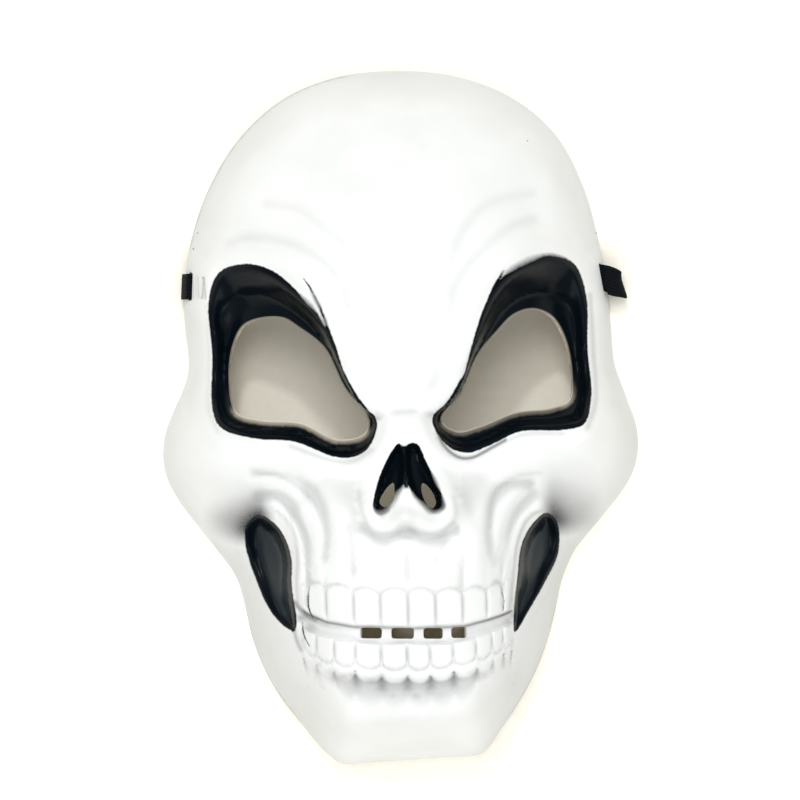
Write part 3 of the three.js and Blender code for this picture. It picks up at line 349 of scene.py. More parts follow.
def from_plane(U, V):
    r = np.hypot(U, V)
    b = np.degrees(np.arctan2(U, V))
    R, p = by_bearing("reach", b), by_bearing("bluff", b)
    lo, hi = np.zeros(r.shape), np.ones(r.shape)
    for _ in range(32):
        m = (lo + hi) / 2
        less = R * m + 0.5 * DOME_RISE * (1 - dome_at(m, p)) < r
        lo, hi = np.where(less, m, lo), np.where(less, hi, m)
    k = np.where(r > 1e-6, R * hi / np.maximum(r, 1e-9), 0)
    return CX + U * k, CY + V * k


def slot_loop(s, gap):
    c, n = math.cos(math.radians(s["lean"])), math.sin(math.radians(s["lean"]))
    w, t = s["wide"] / 2, s["tall"] / 2
    r = min(0.42 * s["wide"], 0.42 * s["tall"], 0.9)
    pts = []
    for cx, cy, a0 in ((w - r, t - r, 90), (w - r, -t + r, 0), (-w + r, -t + r, -90), (-w + r, t - r, -180)):
        for k in range(4):
            a = math.radians(a0 - 30 * k)
            pts.append((cx + r * math.cos(a), cy + r * math.sin(a)))
    P = np.array(pts)
    P = np.stack([s["x"] + P[:, 0] * c - P[:, 1] * n, s["y"] + P[:, 0] * n + P[:, 1] * c], 1)
    return evenly(P, gap)


def rows_along(P, offsets, gap):
    """Points beside a line, in rows at the given distances from it."""
    L = np.concatenate([[0], np.cumsum(np.hypot(*np.diff(P, axis=0).T))])
    s = np.linspace(0, L[-1], max(2, int(L[-1] / gap)))
    Q = np.stack([np.interp(s, L, P[:, 0]), np.interp(s, L, P[:, 1])], 1)
    T = np.gradient(Q, axis=0)
    T /= np.maximum(np.linalg.norm(T, axis=1, keepdims=True), 1e-9)
    N = np.stack([-T[:, 1], T[:, 0]], 1)
    return np.vstack([Q + N * o for o in offsets])


def detail_points():
    out = []
    for st in STROKES:
        P = np.array(st, float)
        w = P[:, 2].max()
        out.append(rows_along(P[:, :2], (0, w, -w, w + 0.4, -w - 0.4, w + 0.85, -w - 0.85), 0.55))
    xs = np.arange(-40, 41, 0.7)
    bite, top = column(UPPER, "bite", xs), column(LOWER, "top", xs)
    for o in (-0.9, -0.35, 0.05, 0.45, 0.85, 1.3):
        out.append(np.stack([xs, bite + o], 1))
        out.append(np.stack([xs, top - o], 1))
    for rows, keys in ((UPPER, ("gum", "bite")), (LOWER, ("top", "root"))):
        for a, b in zip(rows[:-1], rows[1:]):
            x = np.linspace(a["x"], b["x"], max(5, int((b["x"] - a["x"]) / 0.8)))
            u = 2 * (x - a["x"]) / (b["x"] - a["x"]) - 1
            arc = 1 - np.sqrt(np.clip(1 - u * u, 0, 1))
            if rows is UPPER:
                e = column(UPPER, "gum", x) + 0.3 - 3.2 * arc
                sides = (0.35, -0.25, -0.8, -1.5)
            else:
                e = column(LOWER, "root", x) + 3.4 * arc
                sides = (-0.9, -0.35, 0.25, 0.8, 1.5)
            out += [np.stack([x, e + o], 1) for o in sides]
        for r in rows[1:-1]:
            hi, lo = (r["gum"] - 2.2, r["bite"]) if rows is UPPER else (r["top"], r["root"] + 2.2)
            y = np.arange(lo, hi, 0.7)
            out += [np.stack([np.full(y.shape, r["x"] + o), y], 1) for o in (0, 0.45, -0.45, 0.9, -0.9, 1.35, -1.35)]
    for pts, w, v in SHADE_LINES[:5]:
        out.append(rows_along(line(pts), (0, 0.4, -0.4, 0.85, -0.85), 0.6))
    for k in ("socketLeft", "socketRight", "hollowLeft", "hollowRight", "noseLeft", "noseRight"):
        out.append(rows_along(ring(LINES[k]), (0, 0.6, -0.6), 0.8))
    return np.vstack(out)


# ---------------------------------------------------------------- the moulded shell
def build_shell():
    ang = np.arange(0, 360, 0.25)
    R = by_bearing("reach", ang)
    rim = evenly(np.stack([CX + R * np.sin(np.radians(ang)), CY + R * np.cos(np.radians(ang))], 1), 1.9)
    holes = [evenly(LINES[k], 1.1) for k in ("openingLeft", "openingRight")]
    holes += [evenly(LINES[k], 0.7) for k in ("nostrilLeft", "nostrilRight")]
    holes += [slot_loop(s, 0.75) for s in SLOTS]
    loops = [rim] + holes
    pts, edges, start = [], [], 0
    for l in loops:
        u, v = to_plane(l[:, 0], l[:, 1])
        n = len(l)
        pts.append(np.stack([u, v], 1))
        edges += [(start + i, start + (i + 1) % n) for i in range(n)]
        start += n
    # free points: a triangular grid, twice as fine where the relief is fine
    g = 0.9
    rows = np.arange(-172, 162, g * math.sqrt(3) / 2)
    cols = np.arange(-125, 125, g)
    J, I = np.meshgrid(np.arange(len(rows)), np.arange(len(cols)), indexing="ij")
    U = cols[I] + (J % 2) * g / 2
    V = rows[J]
    coarse = (J % 2 == 0) & (((I + (J // 2) % 2) % 2) == 0)
    U, V, coarse = U.ravel(), V.ravel(), coarse.ravel()
    keep = np.hypot(U, V) < by_bearing("reach", np.degrees(np.arctan2(U, V))) + 0.5 * DOME_RISE - 0.9
    U, V, coarse = U[keep], V[keep], coarse[keep]
    X, Y = from_plane(U, V)
    fine = (np.abs(X) < 42) & (Y > -100) & (Y < -56)
    fine |= (X > -17) & (X < 21) & (Y > -46) & (Y < 4)
    for k in ("socketLeft", "socketRight", "hollowLeft", "hollowRight"):
        fine |= np.abs(signed(LINES[k], X, Y, 4)) < 2.6
    for s in SLOTS[4:]:
        fine |= (np.abs(X - s["x"]) < 3.2) & (np.abs(Y - s["y"]) < 7.5)
    keep = coarse | fine
    bad = np.zeros(X.shape, bool)
    for l, gap in zip(holes, [1.1] * 2 + [0.7] * 2 + [0.75] * len(SLOTS)):
        pu, pv = to_plane(l[:, 0], l[:, 1])
        bad |= signed(np.stack([pu, pv], 1), U, V, 3) < 0.55 * gap
    keep &= ~bad
    U, V = U[keep], V[keep]
    EX = detail_points()
    ok = np.ones(len(EX), bool)
    for l, gap in zip(holes, [1.1] * 2 + [0.7] * 2 + [0.75] * len(SLOTS)):
        ok &= signed(l, EX[:, 0], EX[:, 1], 3) > 0.5 * gap
    EX = EX[ok]
    eu, ev = to_plane(EX[:, 0], EX[:, 1])
    tree = KDTree(len(eu))
    order = []
    for i, (a, b) in enumerate(zip(eu, ev)):
        tree.insert((a, b, 0), i)
    tree.balance()
    used = np.zeros(len(eu), bool)
    gone = np.zeros(len(eu), bool)
    for i, (a, b) in enumerate(zip(eu, ev)):
        if gone[i]:
            continue
        used[i] = True
        for _, j, d in tree.find_range((a, b, 0), 0.24):
            if j != i and not used[j]:
                gone[j] = True
    eu, ev = eu[used], ev[used]
    tree = KDTree(len(eu))
    for i, (a, b) in enumerate(zip(eu, ev)):
        tree.insert((a, b, 0), i)
    tree.balance()
    clear = np.array([tree.find((a, b, 0))[2] > 0.42 for a, b in zip(U, V)])
    U, V = np.concatenate([eu, U[clear]]), np.concatenate([ev, V[clear]])
    pts.append(np.stack([U, V], 1))
    P = np.vstack(pts)
    r = delaunay_2d_cdt([Vector(p) for p in P.tolist()], edges, [], 0, 1e-5)
    Q = np.array([tuple(v) for v in r[0]])
    T = np.array([tuple(t) for t in r[2]])
    orig = [min(o) if o else -1 for o in r[3]]
    new_of = {o: i for i, o in enumerate(orig) if o >= 0}
    for i, os in enumerate(r[3]):
        for o in os:
            new_of[o] = i
    loop_ids, at = [], 0
    for l in loops:
        loop_ids.append([new_of[at + i] for i in range(len(l))])
        at += len(l)
    C = Q[T].mean(1)
    ok = inside(Q[loop_ids[0]], C[:, 0], C[:, 1])
    for ids in loop_ids[1:]:
        ok &= signed(Q[ids], C[:, 0], C[:, 1], 2) > 0
    T = T[ok]
    A = Q[T]
    flip = ((A[:, 1, 0] - A[:, 0, 0]) * (A[:, 2, 1] - A[:, 0, 1]) - (A[:, 1, 1] - A[:, 0, 1]) * (A[:, 2, 0] - A[:, 0, 0])) < 0
    T[flip] = T[flip][:, ::-1]
    X, Y = from_plane(Q[:, 0], Q[:, 1])
    Z = height(X, Y)
    _, _, _, b, _, _, _ = polar(X, Y)
    rim_ids = np.array(loop_ids[0])
    Z[rim_ids] = rim_lift(b[rim_ids])
    outer = np.stack([X, Y, Z], 1)
    # slowly turning normals carry the inner face
    N = np.zeros(outer.shape)
    t = outer[T]
    fn = np.cross(t[:, 1] - t[:, 0], t[:, 2] - t[:, 0])
    for k in range(3):
        np.add.at(N, T[:, k], fn)
    N /= np.maximum(np.linalg.norm(N, axis=1, keepdims=True), 1e-9)
    E = np.unique(np.sort(np.vstack([T[:, [0, 1]], T[:, [1, 2]], T[:, [2, 0]]]), 1), axis=0)
    for _ in range(14):
        S = N.copy()
        np.add.at(S, E[:, 0], N[E[:, 1]])
        np.add.at(S, E[:, 1], N[E[:, 0]])
        N = S / np.maximum(np.linalg.norm(S, axis=1, keepdims=True), 1e-9)
    inner = outer - N * WALL
    # how deep each point lies in a groove, from a smoothed copy of the heights: painted shade that darkens the plastic
    # in the grooves
    deg = np.zeros(len(outer))
    np.add.at(deg, E.ravel(), 1)
    Zs = Z.copy()
    for _ in range(26):
        S = np.zeros(len(Z))
        np.add.at(S, E[:, 0], Zs[E[:, 1]])
        np.add.at(S, E[:, 1], Zs[E[:, 0]])
        Zs = 0.5 * Zs + 0.5 * S / np.maximum(deg, 1)
    crease_shade = np.clip((Zs - Z - 0.02) / 0.9, 0, 1) ** 0.85 * smooth((1 - polar(X, Y)[6]) / 0.12)
    h = N[rim_ids] * [1, 1, 0]
    h /= np.linalg.norm(h, axis=1, keepdims=True)
    inner[rim_ids] = outer[rim_ids] - h * WALL * 1.04
    lift = rim_lift(polar(inner[:, 0], inner[:, 1])[3])
    free = np.ones(len(inner), bool)
    free[rim_ids] = False
    inner[free, 2] = np.maximum(inner[free, 2], lift[free] + 0.5)
    n = len(outer)
    faces = [tuple(f) for f in T.tolist()] + [(n + a, n + c, n + b_) for a, b_, c in T.tolist()]
    kind = [0] * len(T) + [0] * len(T)
    have = {}
    for f in T.tolist():
        for k in range(3):
            e = (f[k], f[(k + 1) % 3])
            if (e[1], e[0]) in have:
                del have[(e[1], e[0])]
            else:
                have[e] = 1
    eye = set(loop_ids[1]) | set(loop_ids[2])
    for u, v in have:
        faces.append((u, n + u, n + v, v))
        kind.append(1 if u in eye else 0)
    return outer, inner, faces, kind, X, Y, crease_shade




def line(pts, per=6):
    return catmull(table("x y", pts), False, per)[:, :2]


def stroke(pts, X, Y, margin=6.0):
    """Signed distance into a drawn line whose rows are x, y and half width, positive inside."""
    out = np.full(X.shape, -margin)
    P = np.array(pts, float)
    m = (X > P[:, 0].min() - margin) & (X < P[:, 0].max() + margin) & (Y > P[:, 1].min() - margin) & (Y < P[:, 1].max() + margin)
    x, y = X[m], Y[m]
    best = np.full(x.shape, -margin)
    for a, b in zip(P[:-1], P[1:]):
        dx, dy = b[0] - a[0], b[1] - a[1]
        t = np.clip(((x - a[0]) * dx + (y - a[1]) * dy) / (dx * dx + dy * dy), 0, 1)
        d = a[2] + (b[2] - a[2]) * t - np.hypot(x - a[0] - t * dx, y - a[1] - t * dy)
        np.maximum(best, d, out=best)
    out[m] = best
    return out


def paint(X, Y):
    """The sprayed and brushed paint, with painted shade and painted sheen, as numbers at each point of the outer face.
    """
    ink = np.full(X.shape, -6.0)
    for k in ("socketLeft", "socketRight", "hollowLeft", "hollowRight", "noseLeft", "noseRight"):
        ink = np.maximum(ink, np.clip(-signed(LINES[k], X, Y), -6, 6))
    for s in STROKES:
        ink = np.maximum(ink, stroke(s, X, Y))
    for x, y, r, v in FADES:
        ink = ink - v * np.exp(-((X - x) ** 2 + (Y - y) ** 2) / r ** 2)
    soft = np.full(X.shape, 0.22)
    for x, y, r, w in SOFT_SPOTS:
        soft = np.maximum(soft, w * np.exp(-((X - x) ** 2 + (Y - y) ** 2) / r ** 2))
    spray_and_shade = np.zeros(X.shape)
    for x, y, sx, sy, v in SPRAY_AND_SHADE_SPOTS:
        spray_and_shade = np.maximum(spray_and_shade, v * np.exp(-(((X - x) / sx) ** 2) - ((Y - y) / sy) ** 2))
    # the sprayed smoke over each hollow, darkest at its edge
    for k, sx, reach, amount, start in (("hollowLeft", -1, 6.5, 0.93, 46), ("hollowRight", 1, 9.0, 0.93, 49)):
        d = signed(LINES[k], X, Y, 24)
        m = d < 24
        g = np.exp(-(np.clip(d[m], 0, 24) / reach) ** 1.4)
        g *= amount * smooth((sx * X[m] - start) / 8) * smooth((Y[m] + 49) / 10)
        spray_and_shade[m] += g * (1 - spray_and_shade[m])
    for pts, w, v in SHADE_LINES:
        d = near_line(line(pts), X, Y, 3 * w)
        spray_and_shade = np.maximum(spray_and_shade, v * np.exp(-((d / w) ** 2)))
    # painted shade: a dark line under the bite, where the upper teeth overhang the mouth, with a broader band of it at
    # the left end
    bite = column(UPPER, "bite", X)
    span = smooth((X + 39.5) / 2) * smooth((40.5 - X) / 2)
    ends = 0.32 + 0.5 * np.clip((np.abs(X) - 8) / 28, 0, 1) ** 1.2
    spray_and_shade = np.maximum(spray_and_shade, span * ends * np.exp(-(((Y - bite + 0.15) / (0.36 + 0.008 * np.abs(X))) ** 2)))
    spray_and_shade = np.maximum(spray_and_shade, span * 0.30 * smooth((-X - 22) / 12) * np.exp(-(((Y - bite + 1.3) / 1.2) ** 2)))
    # the spray under the lower gums, scalloped like the teeth above it
    for a, b in zip(LOWER[:-1], LOWER[1:]):
        m = (X >= a["x"]) & (X < b["x"]) & (Y < -84)
        u = 2 * (X[m] - a["x"]) / (b["x"] - a["x"]) - 1
        t = column(LOWER, "root", X[m]) + 3.4 * (1 - np.sqrt(np.clip(1 - u * u, 0, 1))) - Y[m]
        mid = smooth((34 - np.abs(X[m])) / 16)
        band = smooth((t - 3.6) / 1.8) * smooth((6.8 + 9.5 * mid - t) / (2.5 + 6 * mid))
        spray_and_shade[m] = np.maximum(spray_and_shade[m], band * (0.12 + 0.30 * mid) * (0.8 + 0.5 * np.abs(u) ** 3))
    lip = np.full(X.shape, 12.0)
    shelf = np.zeros(X.shape)
    for k, low in (("openingLeft", 1.0), ("openingRight", 0.45)):
        d = signed(LINES[k], X, Y, 12)
        m = d < 12
        lip[m] = np.clip(d[m], 0, 12)
        x, y = X[m], Y[m]
        ny = signed(LINES[k], x, y + 0.4, 14) - signed(LINES[k], x, y - 0.4, 14)
        shelf[m] = low * smooth((-ny / 0.8 - 0.25) / 0.5)
    shelf = np.maximum(shelf, 0.95 * np.exp(-(((X - 62.0) / 4.0) ** 2) - ((Y - 4.0) / 5.0) ** 2))
    f = polar(X, Y)[6]
    # painted shade: a faint band near the rim, where the walls turn away from the light, left off at the chin
    spray_and_shade = np.maximum(spray_and_shade, 0.10 * smooth((f - 0.86) / 0.14) * smooth((Y + 112) / 16))
    # painted shade on the jaw sides, which turn away from the light, and a thin dark line of painted shade along the
    # rim of the crown's left and of the jaw
    spray_and_shade = np.maximum(spray_and_shade, 0.16 * smooth((f - 0.5) / 0.5) * smooth((-28 - Y) / 25) * smooth((np.abs(X) - 20) / 20))
    thin = np.maximum(smooth((Y - 58) / 10) * smooth((-X - 8) / 12), smooth((-62 - Y) / 14) * smooth((Y + 117) / 6))
    spray_and_shade = np.maximum(spray_and_shade, 0.34 * smooth((f - 0.992) / 0.006) * thin)
    # painted sheen: the flat floors of the cheek hollows, lighter as if they caught the light
    hollow_floor_sheen = np.zeros(X.shape)
    for k, sx in (("hollowLeft", -1), ("hollowRight", 1)):
        o = -signed(LINES[k], X, Y)
        side = smooth((o - 0.5) / 0.7)
        P = LINES[k]
        cx = P[:, 0].mean()
        hollow_floor_sheen = np.maximum(hollow_floor_sheen, side * smooth((o - 1.4 - 2.2 * smooth((sx * (X - cx) + 1.5) / 4)) / 1.2))
    return ink, soft, spray_and_shade, lip, shelf, hollow_floor_sheen


# strokes: rows of x, y and half width of drawn hair lines beside the sockets and teeth
STROKES = [
    [[0.8, -12.0, 1.5], [1.4, -14.0, 1.5], [1.5, -22.0, 1.5], [1.4, -25.5, 1.1]],
    [[-29.4, 38.2, 0.4], [-27.0, 33.5, 0.9], [-25.2, 28.0, 1.0], [-23.8, 21.5, 1.4], [-20.8, 14.6, 1.55], [-16.5, 7.2, 1.25], [-12.5, 2.3, 1.0], [-10.2, 0.3, 0.9]],
    [[26.2, 20.5, 0.4], [24.4, 15.0, 0.6], [22.4, 12.2, 0.6], [19.9, 7.9, 0.6], [17.1, 4.2, 0.6], [14.4, 1.5, 0.7], [12.6, 0.5, 0.6]],
    [[-38.4, -75.3, 0.12], [-38.3, -78.0, 0.28], [-37.8, -80.6, 0.24], [-36.0, -84.0, 0.1]],
    [[-34.5, 52.4, 0.1], [-32.4, 49.3, 0.33], [-28.8, 41.7, 0.5], [-26.3, 34.2, 0.6], [-23.7, 26.6, 0.6], [-20.7, 16.4, 0.4]],
    [[39.5, 53.2, 0.25], [37.4, 49.8, 0.55], [35.4, 46.5, 0.5], [33.4, 41.8, 0.6], [31.5, 37.3, 0.7], [28.5, 28.1, 0.8], [24.4, 15.2, 0.5]],
    [[-41.5, -68.0, 0.3], [-41.3, -72.0, 0.7], [-41.5, -76.3, 0.9], [-42.2, -78.2, 0.5]],
    [[-35.4, -61.8, 0.10], [-36.0, -65.5, 0.26], [-36.0, -69.5, 0.3], [-34.6, -73.4, 0.2]],
    [[35.6, -64.0, 0.05], [36.6, -69.0, 0.13], [36.2, -72.6, 0.1]],
]
SOFT_SPOTS = [  # x y radius half-width
    [48, 57, 9, 1.6], [43, 54.5, 4, 1.5], [57, 59, 8, 0.9], [-33, 43, 5, 1.1], [-28, 36, 3, 0.8], [-6.5, -35, 3.6, 2.4], [-2.2, -30.0, 4.4, 2.6], [8, -34, 5, 2.2],
    [14.5, -33, 3.5, 1.4], [12.5, -24, 4, 1.0], [3.4, -30, 3, 1.4],
]
FADES = [  # x y radius mm: where the spray thins out to bare plastic
    [-1.4, -31.4, 3.4, 5.0], [-7.0, -36.6, 2.6, 2.4], [4.7, -34.2, 3.2, 4.2], [13.4, -35.6, 2.2, 1.6], [1.6, -29.5, 1.6, 2.2],
]
# the mask's sprayed dark paint and painted shade: in the dents beside the hollows, at the mouth corners, in the
# philtrum and between the lower roots
SPRAY_AND_SHADE_SPOTS = [  # x y sx sy amount
    [-66.0, -36.5, 8.0, 6.0, 0.30], [68.0, -36.0, 6.0, 7.0, 0.16],
    [-38.8, -73.4, 2.6, 2.0, 0.5], [41.0, -74.6, 2.4, 2.2, 0.5], [-35.4, -77.5, 3.0, 2.2, 0.25], [38.2, -77.2, 2.6, 2.2, 0.28],
    [-23.9, -95.9, 3.7, 1.9, 0.3], [-20.5, -95.3, 1.9, 1.5, 0.32], [-13.2, -98.1, 4.1, 2.2, 0.38], [-10.2, -97.0, 1.9, 1.9, 0.28], [-5.5, -102.7, 3.3, 2.2, 0.42], [-0.9, -99.1, 1.5, 1.9, 0.44], [3.1, -103.0, 3.3, 2.6, 0.44], [8.8, -99.0, 1.5, 1.9, 0.44],
    [12.4, -102.8, 3.3, 2.6, 0.36], [17.7, -98.1, 1.9, 2.2, 0.42], [20.3, -100.4, 3.0, 2.2, 0.28], [24.8, -96.8, 2.2, 1.9, 0.28], [28.5, -96.6, 1.9, 1.9, 0.22], [-2.8, -100.6, 11.9, 3.0, 0.2], [-28.3, -94.0, 3.0, 1.9, 0.2], [-32.3, -90.9, 1.5, 1.5, 0.2],
    [0.6, -48, 6, 5, 0.06],
]
# painted shade along the brow, forehead and cheek folds, under the nose lobes, beside the nose, along the hollow lips
# and socket edges, at the temple and in the slot ribs
SHADE_LINES = [  # points, width, amount
    ([[-41.2, -67.6], [-38.9, -70.6], [-36.7, -72.7], [-33.5, -74.3]], 1.1, 0.6), ([[-41.6, -77.5], [-40.9, -81.5], [-39.2, -85.5]], 0.9, 0.46),
    ([[13.6, -5.8], [14.8, -9.1], [17.0, -12.2], [19.9, -14.6], [22.9, -15.7], [26.6, -15.4], [30.2, -13.8], [33.8, -11.9], [38.7, -9.4]], 0.7, 0.72),
    ([[-62.0, 66.5], [-57.0, 68.7], [-47.0, 68.4], [-37.0, 65.2], [-27.7, 58.6], [-21.0, 50.0], [-18.5, 42.0]], 2.0, 0.085),
    ([[-47.0, 81.0], [-36.0, 79.0], [-27.0, 72.0], [-19.0, 64.7]], 2.2, 0.06),
    ([[51.0, 72.5], [42.6, 69.8], [34.5, 63.5], [25.4, 53.5], [20.5, 44.0], [19.0, 36.0]], 2.0, 0.085),
    ([[50.7, 82.0], [37.6, 79.6], [30.0, 75.0], [24.0, 67.0], [20.5, 59.0]], 2.0, 0.075),
    ([[0.2, 66.0], [0.8, 56.0], [0.5, 42.0]], 1.8, 0.04),
    ([[-53.5, -19.1], [-46.6, -20.2], [-40.6, -23.3], [-34.4, -28.7]], 0.9, 0.2), ([[-40.6, -23.3], [-34.4, -28.7], [-29.1, -40.0], [-28.7, -47.3]], 1.0, 0.1),
    ([[-57.9, -28.0], [-50.5, -27.2], [-44.5, -30.7], [-40.2, -35.9]], 0.9, 0.16), ([[-44.5, -30.7], [-40.2, -35.9], [-36.0, -42.0], [-34.2, -48.4]], 0.9, 0.09),
    ([[51.3, -21.9], [43.9, -22.6], [36.3, -26.8], [33.1, -32.7], [32.2, -41.5]], 0.9, 0.15),
    ([[48.6, -25.7], [42.4, -30.6], [38.5, -37.9], [35.8, -46.5], [33.7, -56.4]], 0.9, 0.10),
    ([[-76.3, 55.2], [-76.2, 46.6]], 0.34, 0.34), ([[-75.2, 55.0], [-75.1, 46.6]], 0.3, 0.24), ([[-74.3, 54.6], [-74.2, 46.8]], 0.34, 0.30),
    ([[-72.0, 54.2], [-71.6, 46.4]], 0.4, 0.42),
    ([[-14.4, -38.6], [-11.0, -42.4], [-5.0, -42.9], [0.0, -40.6]], 1.2, 0.22),
    ([[1.6, -40.6], [7.0, -43.0], [13.0, -43.4], [18.6, -39.4]], 1.2, 0.24),
    ([[-16.2, -27.0], [-15.2, -34.0], [-13.6, -38.4]], 1.0, 0.14),
    ([[19.0, -30.0], [19.6, -36.0], [18.0, -40.0]], 1.0, 0.14),
    ([[-53.2, -31.6], [-46.8, -33.6], [-41.2, -40.8], [-39.6, -50.0], [-40.2, -61.0], [-39.6, -72.0]], 0.8, 0.26),
    ([[52.0, -35.6], [46.6, -38.6], [42.4, -47.2], [40.4, -60.0], [38.6, -72.0]], 0.8, 0.30),
    ([[-24.0, 24.5], [-16.4, 7.8], [-8.4, -0.4]], 0.7, 0.22), ([[27.6, 26.0], [20.2, 8.6], [11.6, 0.6]], 0.7, 0.22),
    ([[72.0, 44.0], [72.6, 24.0], [72.8, 4.0], [69.4, -5.6]], 1.1, 0.24), ([[-71.4, 44.0], [-71.0, 25.0], [-71.4, 5.0], [-68.0, -3.4]], 0.9, 0.10),
    ([[-41.0, -9.6], [-26.0, -15.2], [-18.0, -15.6], [-11.0, -11.6]], 0.9, 0.20), ([[60.0, -7.6], [45.6, -7.4], [33.0, -13.0]], 0.7, 0.16),
]
SPECKS = [[-75.9, 65.1, 0.45], [-74.2, 71.0, 0.35], [75.3, 67.1, 0.5], [50.1, 102.0, 0.35], [60.8, -62.0, 0.4], [61.3, -68.5, 0.35]]


outer, inner, faces, kind, X, Y, crease_shade = build_shell()
print("shell", 2 * len(outer), "vertices,", 2 * sum(len(f) == 3 for f in faces) // 2, "triangles")
ink, soft, spray_and_shade, lip, shelf, hollow_floor_sheen = paint(X, Y)
# the forehead folds are soft, and their shade is drawn along their whole length instead
crease_shade = crease_shade * (1 - 0.8 * smooth((Y - 14) / 10))
# the shelf under the bite is light: only the teeth beside it keep the painted shade of their grooves
crease_shade = crease_shade * (1 - 0.75 * smooth((column(UPPER, "bite", X) - 0.5 - Y) / 0.5) * smooth((Y - column(LOWER, "top", X) + 1.2) / 0.8) * smooth((44 - np.abs(X)) / 4))
n = len(outer)
XYZ = (np.vstack([outer, inner]) + [SET_X, SET_Y, 0]) / 1000.0
me = bpy.data.meshes.new("mask_shell_look")
me.from_pydata(XYZ.tolist(), [], faces)
me.validate(verbose=False)
for name, front, back in (("ink", ink, -6.0), ("soft", soft, 0.2), ("spray_and_shade", spray_and_shade, 0.0), ("lip", lip, 12.0), ("shelf", shelf, 0.0), ("crease_shade", crease_shade, 0.0), ("hollow_floor_sheen", hollow_floor_sheen, 0.0), ("face", np.ones(n), 0.0)):
    a = me.attributes.new(name, "FLOAT", "POINT")
    a.data.foreach_set("value", np.concatenate([front, np.full(n, back)]).astype(np.float32))
me.polygons.foreach_set("material_index", kind)
me.polygons.foreach_set("use_smooth", [True] * len(me.polygons))
me.set_sharp_from_angle(angle=math.radians(50))
shell = bpy.data.objects.new("mask_shell_look", me)
bpy.context.scene.collection.objects.link(shell)


# ---------------------------------------------------------------- the elastic strap
def strap_line():
    bow = []
    for k in range(41):
        x = -STRAP_BOW_HALF + 2 * STRAP_BOW_HALF * k / 40
        y = 50.8 + STRAP_SAG * (0.5 + 0.5 * math.cos(math.pi * x / STRAP_BOW_HALF))
        bow.append({"x": x, "y": y, "z": 0.8, "lean": 0.0})
    rows = LEFT_END + bow + RIGHT_END[::-1]
    return catmull(rows, False, 4), np.interp(np.arange((len(rows) - 1) * 4 + 1) / 4, np.arange(len(rows)), [r["lean"] for r in rows])


def build_strap():
    P, lean = strap_line()
    seg = np.linalg.norm(np.diff(P, axis=0), axis=1)
    keep = np.concatenate([[True], seg > 0.02])
    P, lean = P[keep], lean[keep]
    x = P[:, 0]
    onbow = (np.abs(x) < STRAP_BOW_HALF + 1e-6) & (P[:, 2] < 3)
    e = np.where(onbow, smooth((STRAP_BOW_HALF - np.abs(x)) / 22.0), 0) * math.pi / 2
    P[:, 2] = np.where(onbow, np.maximum(P[:, 2], 0.3 + 0.5 * STRAP_THICK * np.cos(e) + 0.5 * STRAP_WIDE * np.sin(e)), P[:, 2])
    T = np.gradient(P, axis=0)
    T /= np.linalg.norm(T, axis=1, keepdims=True)
    up = np.array([0, 0, 1.0])
    W = np.zeros(P.shape)
    for i in range(len(P)):
        if onbow[i]:
            side = np.cross(up, T[i])
            side /= np.linalg.norm(side)
            top = up - T[i] * T[i][2]
            top /= np.linalg.norm(top)
            W[i] = math.cos(e[i]) * side + math.sin(e[i]) * top
        else:
            l = math.radians(lean[i])
            w = np.array([-math.sin(l), math.cos(l), 0.0])
            w -= T[i] * np.dot(w, T[i])
            W[i] = w / np.linalg.norm(w)
        if i and np.dot(W[i], W[i - 1]) < 0:
            W[i] = -W[i]
    H = np.cross(T, W)
    # a woven ribbon: rounded selvedges and five shallow cords on each side
    m = 20
    half, thick = STRAP_WIDE / 2 - 0.02, STRAP_THICK / 2 - 0.02
    sec = []
    for k in range(m + 1):
        a = -1 + 2 * k / m
        sec.append((a * half, thick * (1 - 0.10 * (0.5 - 0.5 * math.cos(5 * 2 * math.pi * (a + 1) / 2))) * (1 if abs(a) < 0.97 else 0.55)))
    sec = sec + [(w, -h) for w, h in reversed(sec)]
    ring_n = len(sec)
    V, F, UV = [], [], []
    L = np.concatenate([[0], np.cumsum(np.linalg.norm(np.diff(P, axis=0), axis=1))])
    for i in range(len(P)):
        for w, h in sec:
            V.append(P[i] + W[i] * w + H[i] * h)
    for i in range(len(P) - 1):
        for k in range(ring_n):
            a, b = i * ring_n + k, i * ring_n + (k + 1) % ring_n
            F.append((a, b, b + ring_n, a + ring_n))
            u0, u1 = L[i] / 1000, L[i + 1] / 1000
            v0, v1 = sec[k][0] / 1000, sec[(k + 1) % ring_n][0] / 1000
            UV += [(u0, v0), (u0, v1), (u1, v1), (u1, v0)]
    for base, flip in ((0, True), ((len(P) - 1) * ring_n, False)):
        h = ring_n // 2
        for k in range(h - 1):
            q = (base + k, base + k + 1, base + ring_n - 2 - k, base + ring_n - 1 - k)
            F.append(q if not flip else q[::-1])
            UV += [(L[0 if base == 0 else -1] / 1000, 0)] * 4
    V = (np.array(V) + [SET_X, SET_Y, 0]) / 1000
    me = bpy.data.meshes.new("elastic_strap_look")
    me.from_pydata(V.tolist(), [], F)
    uv = me.uv_layers.new(name="ribbon")
    for l, c in zip(uv.data, UV):
        l.uv = c
    me.polygons.foreach_set("use_smooth", [True] * len(me.polygons))
    me.set_sharp_from_angle(angle=math.radians(60))
    o = bpy.data.objects.new("elastic_strap_look", me)
    bpy.context.scene.collection.objects.link(o)
    return o, (P + [SET_X, SET_Y, 0]) / 1000, L[-1] / 1000


strap, strap_path, strap_length = build_strap()
print("strap", round(strap_length * 1000, 1), "mm long")


def ordered(o):
    """Faces outward whichever way the ribbon was wound."""
    import bmesh
    bm = bmesh.new()
    bm.from_mesh(o.data)
    bmesh.ops.recalc_face_normals(bm, faces=bm.faces)
    bm.to_mesh(o.data)
    bm.free()


ordered(strap)


# ---------------------------------------------------------------- materials
def srgb(r, g, b):
    return tuple((c / 255 / 12.92 if c / 255 <= 0.04045 else ((c / 255 + 0.055) / 1.055) ** 2.4) for c in (r, g, b)) + (1.0,)


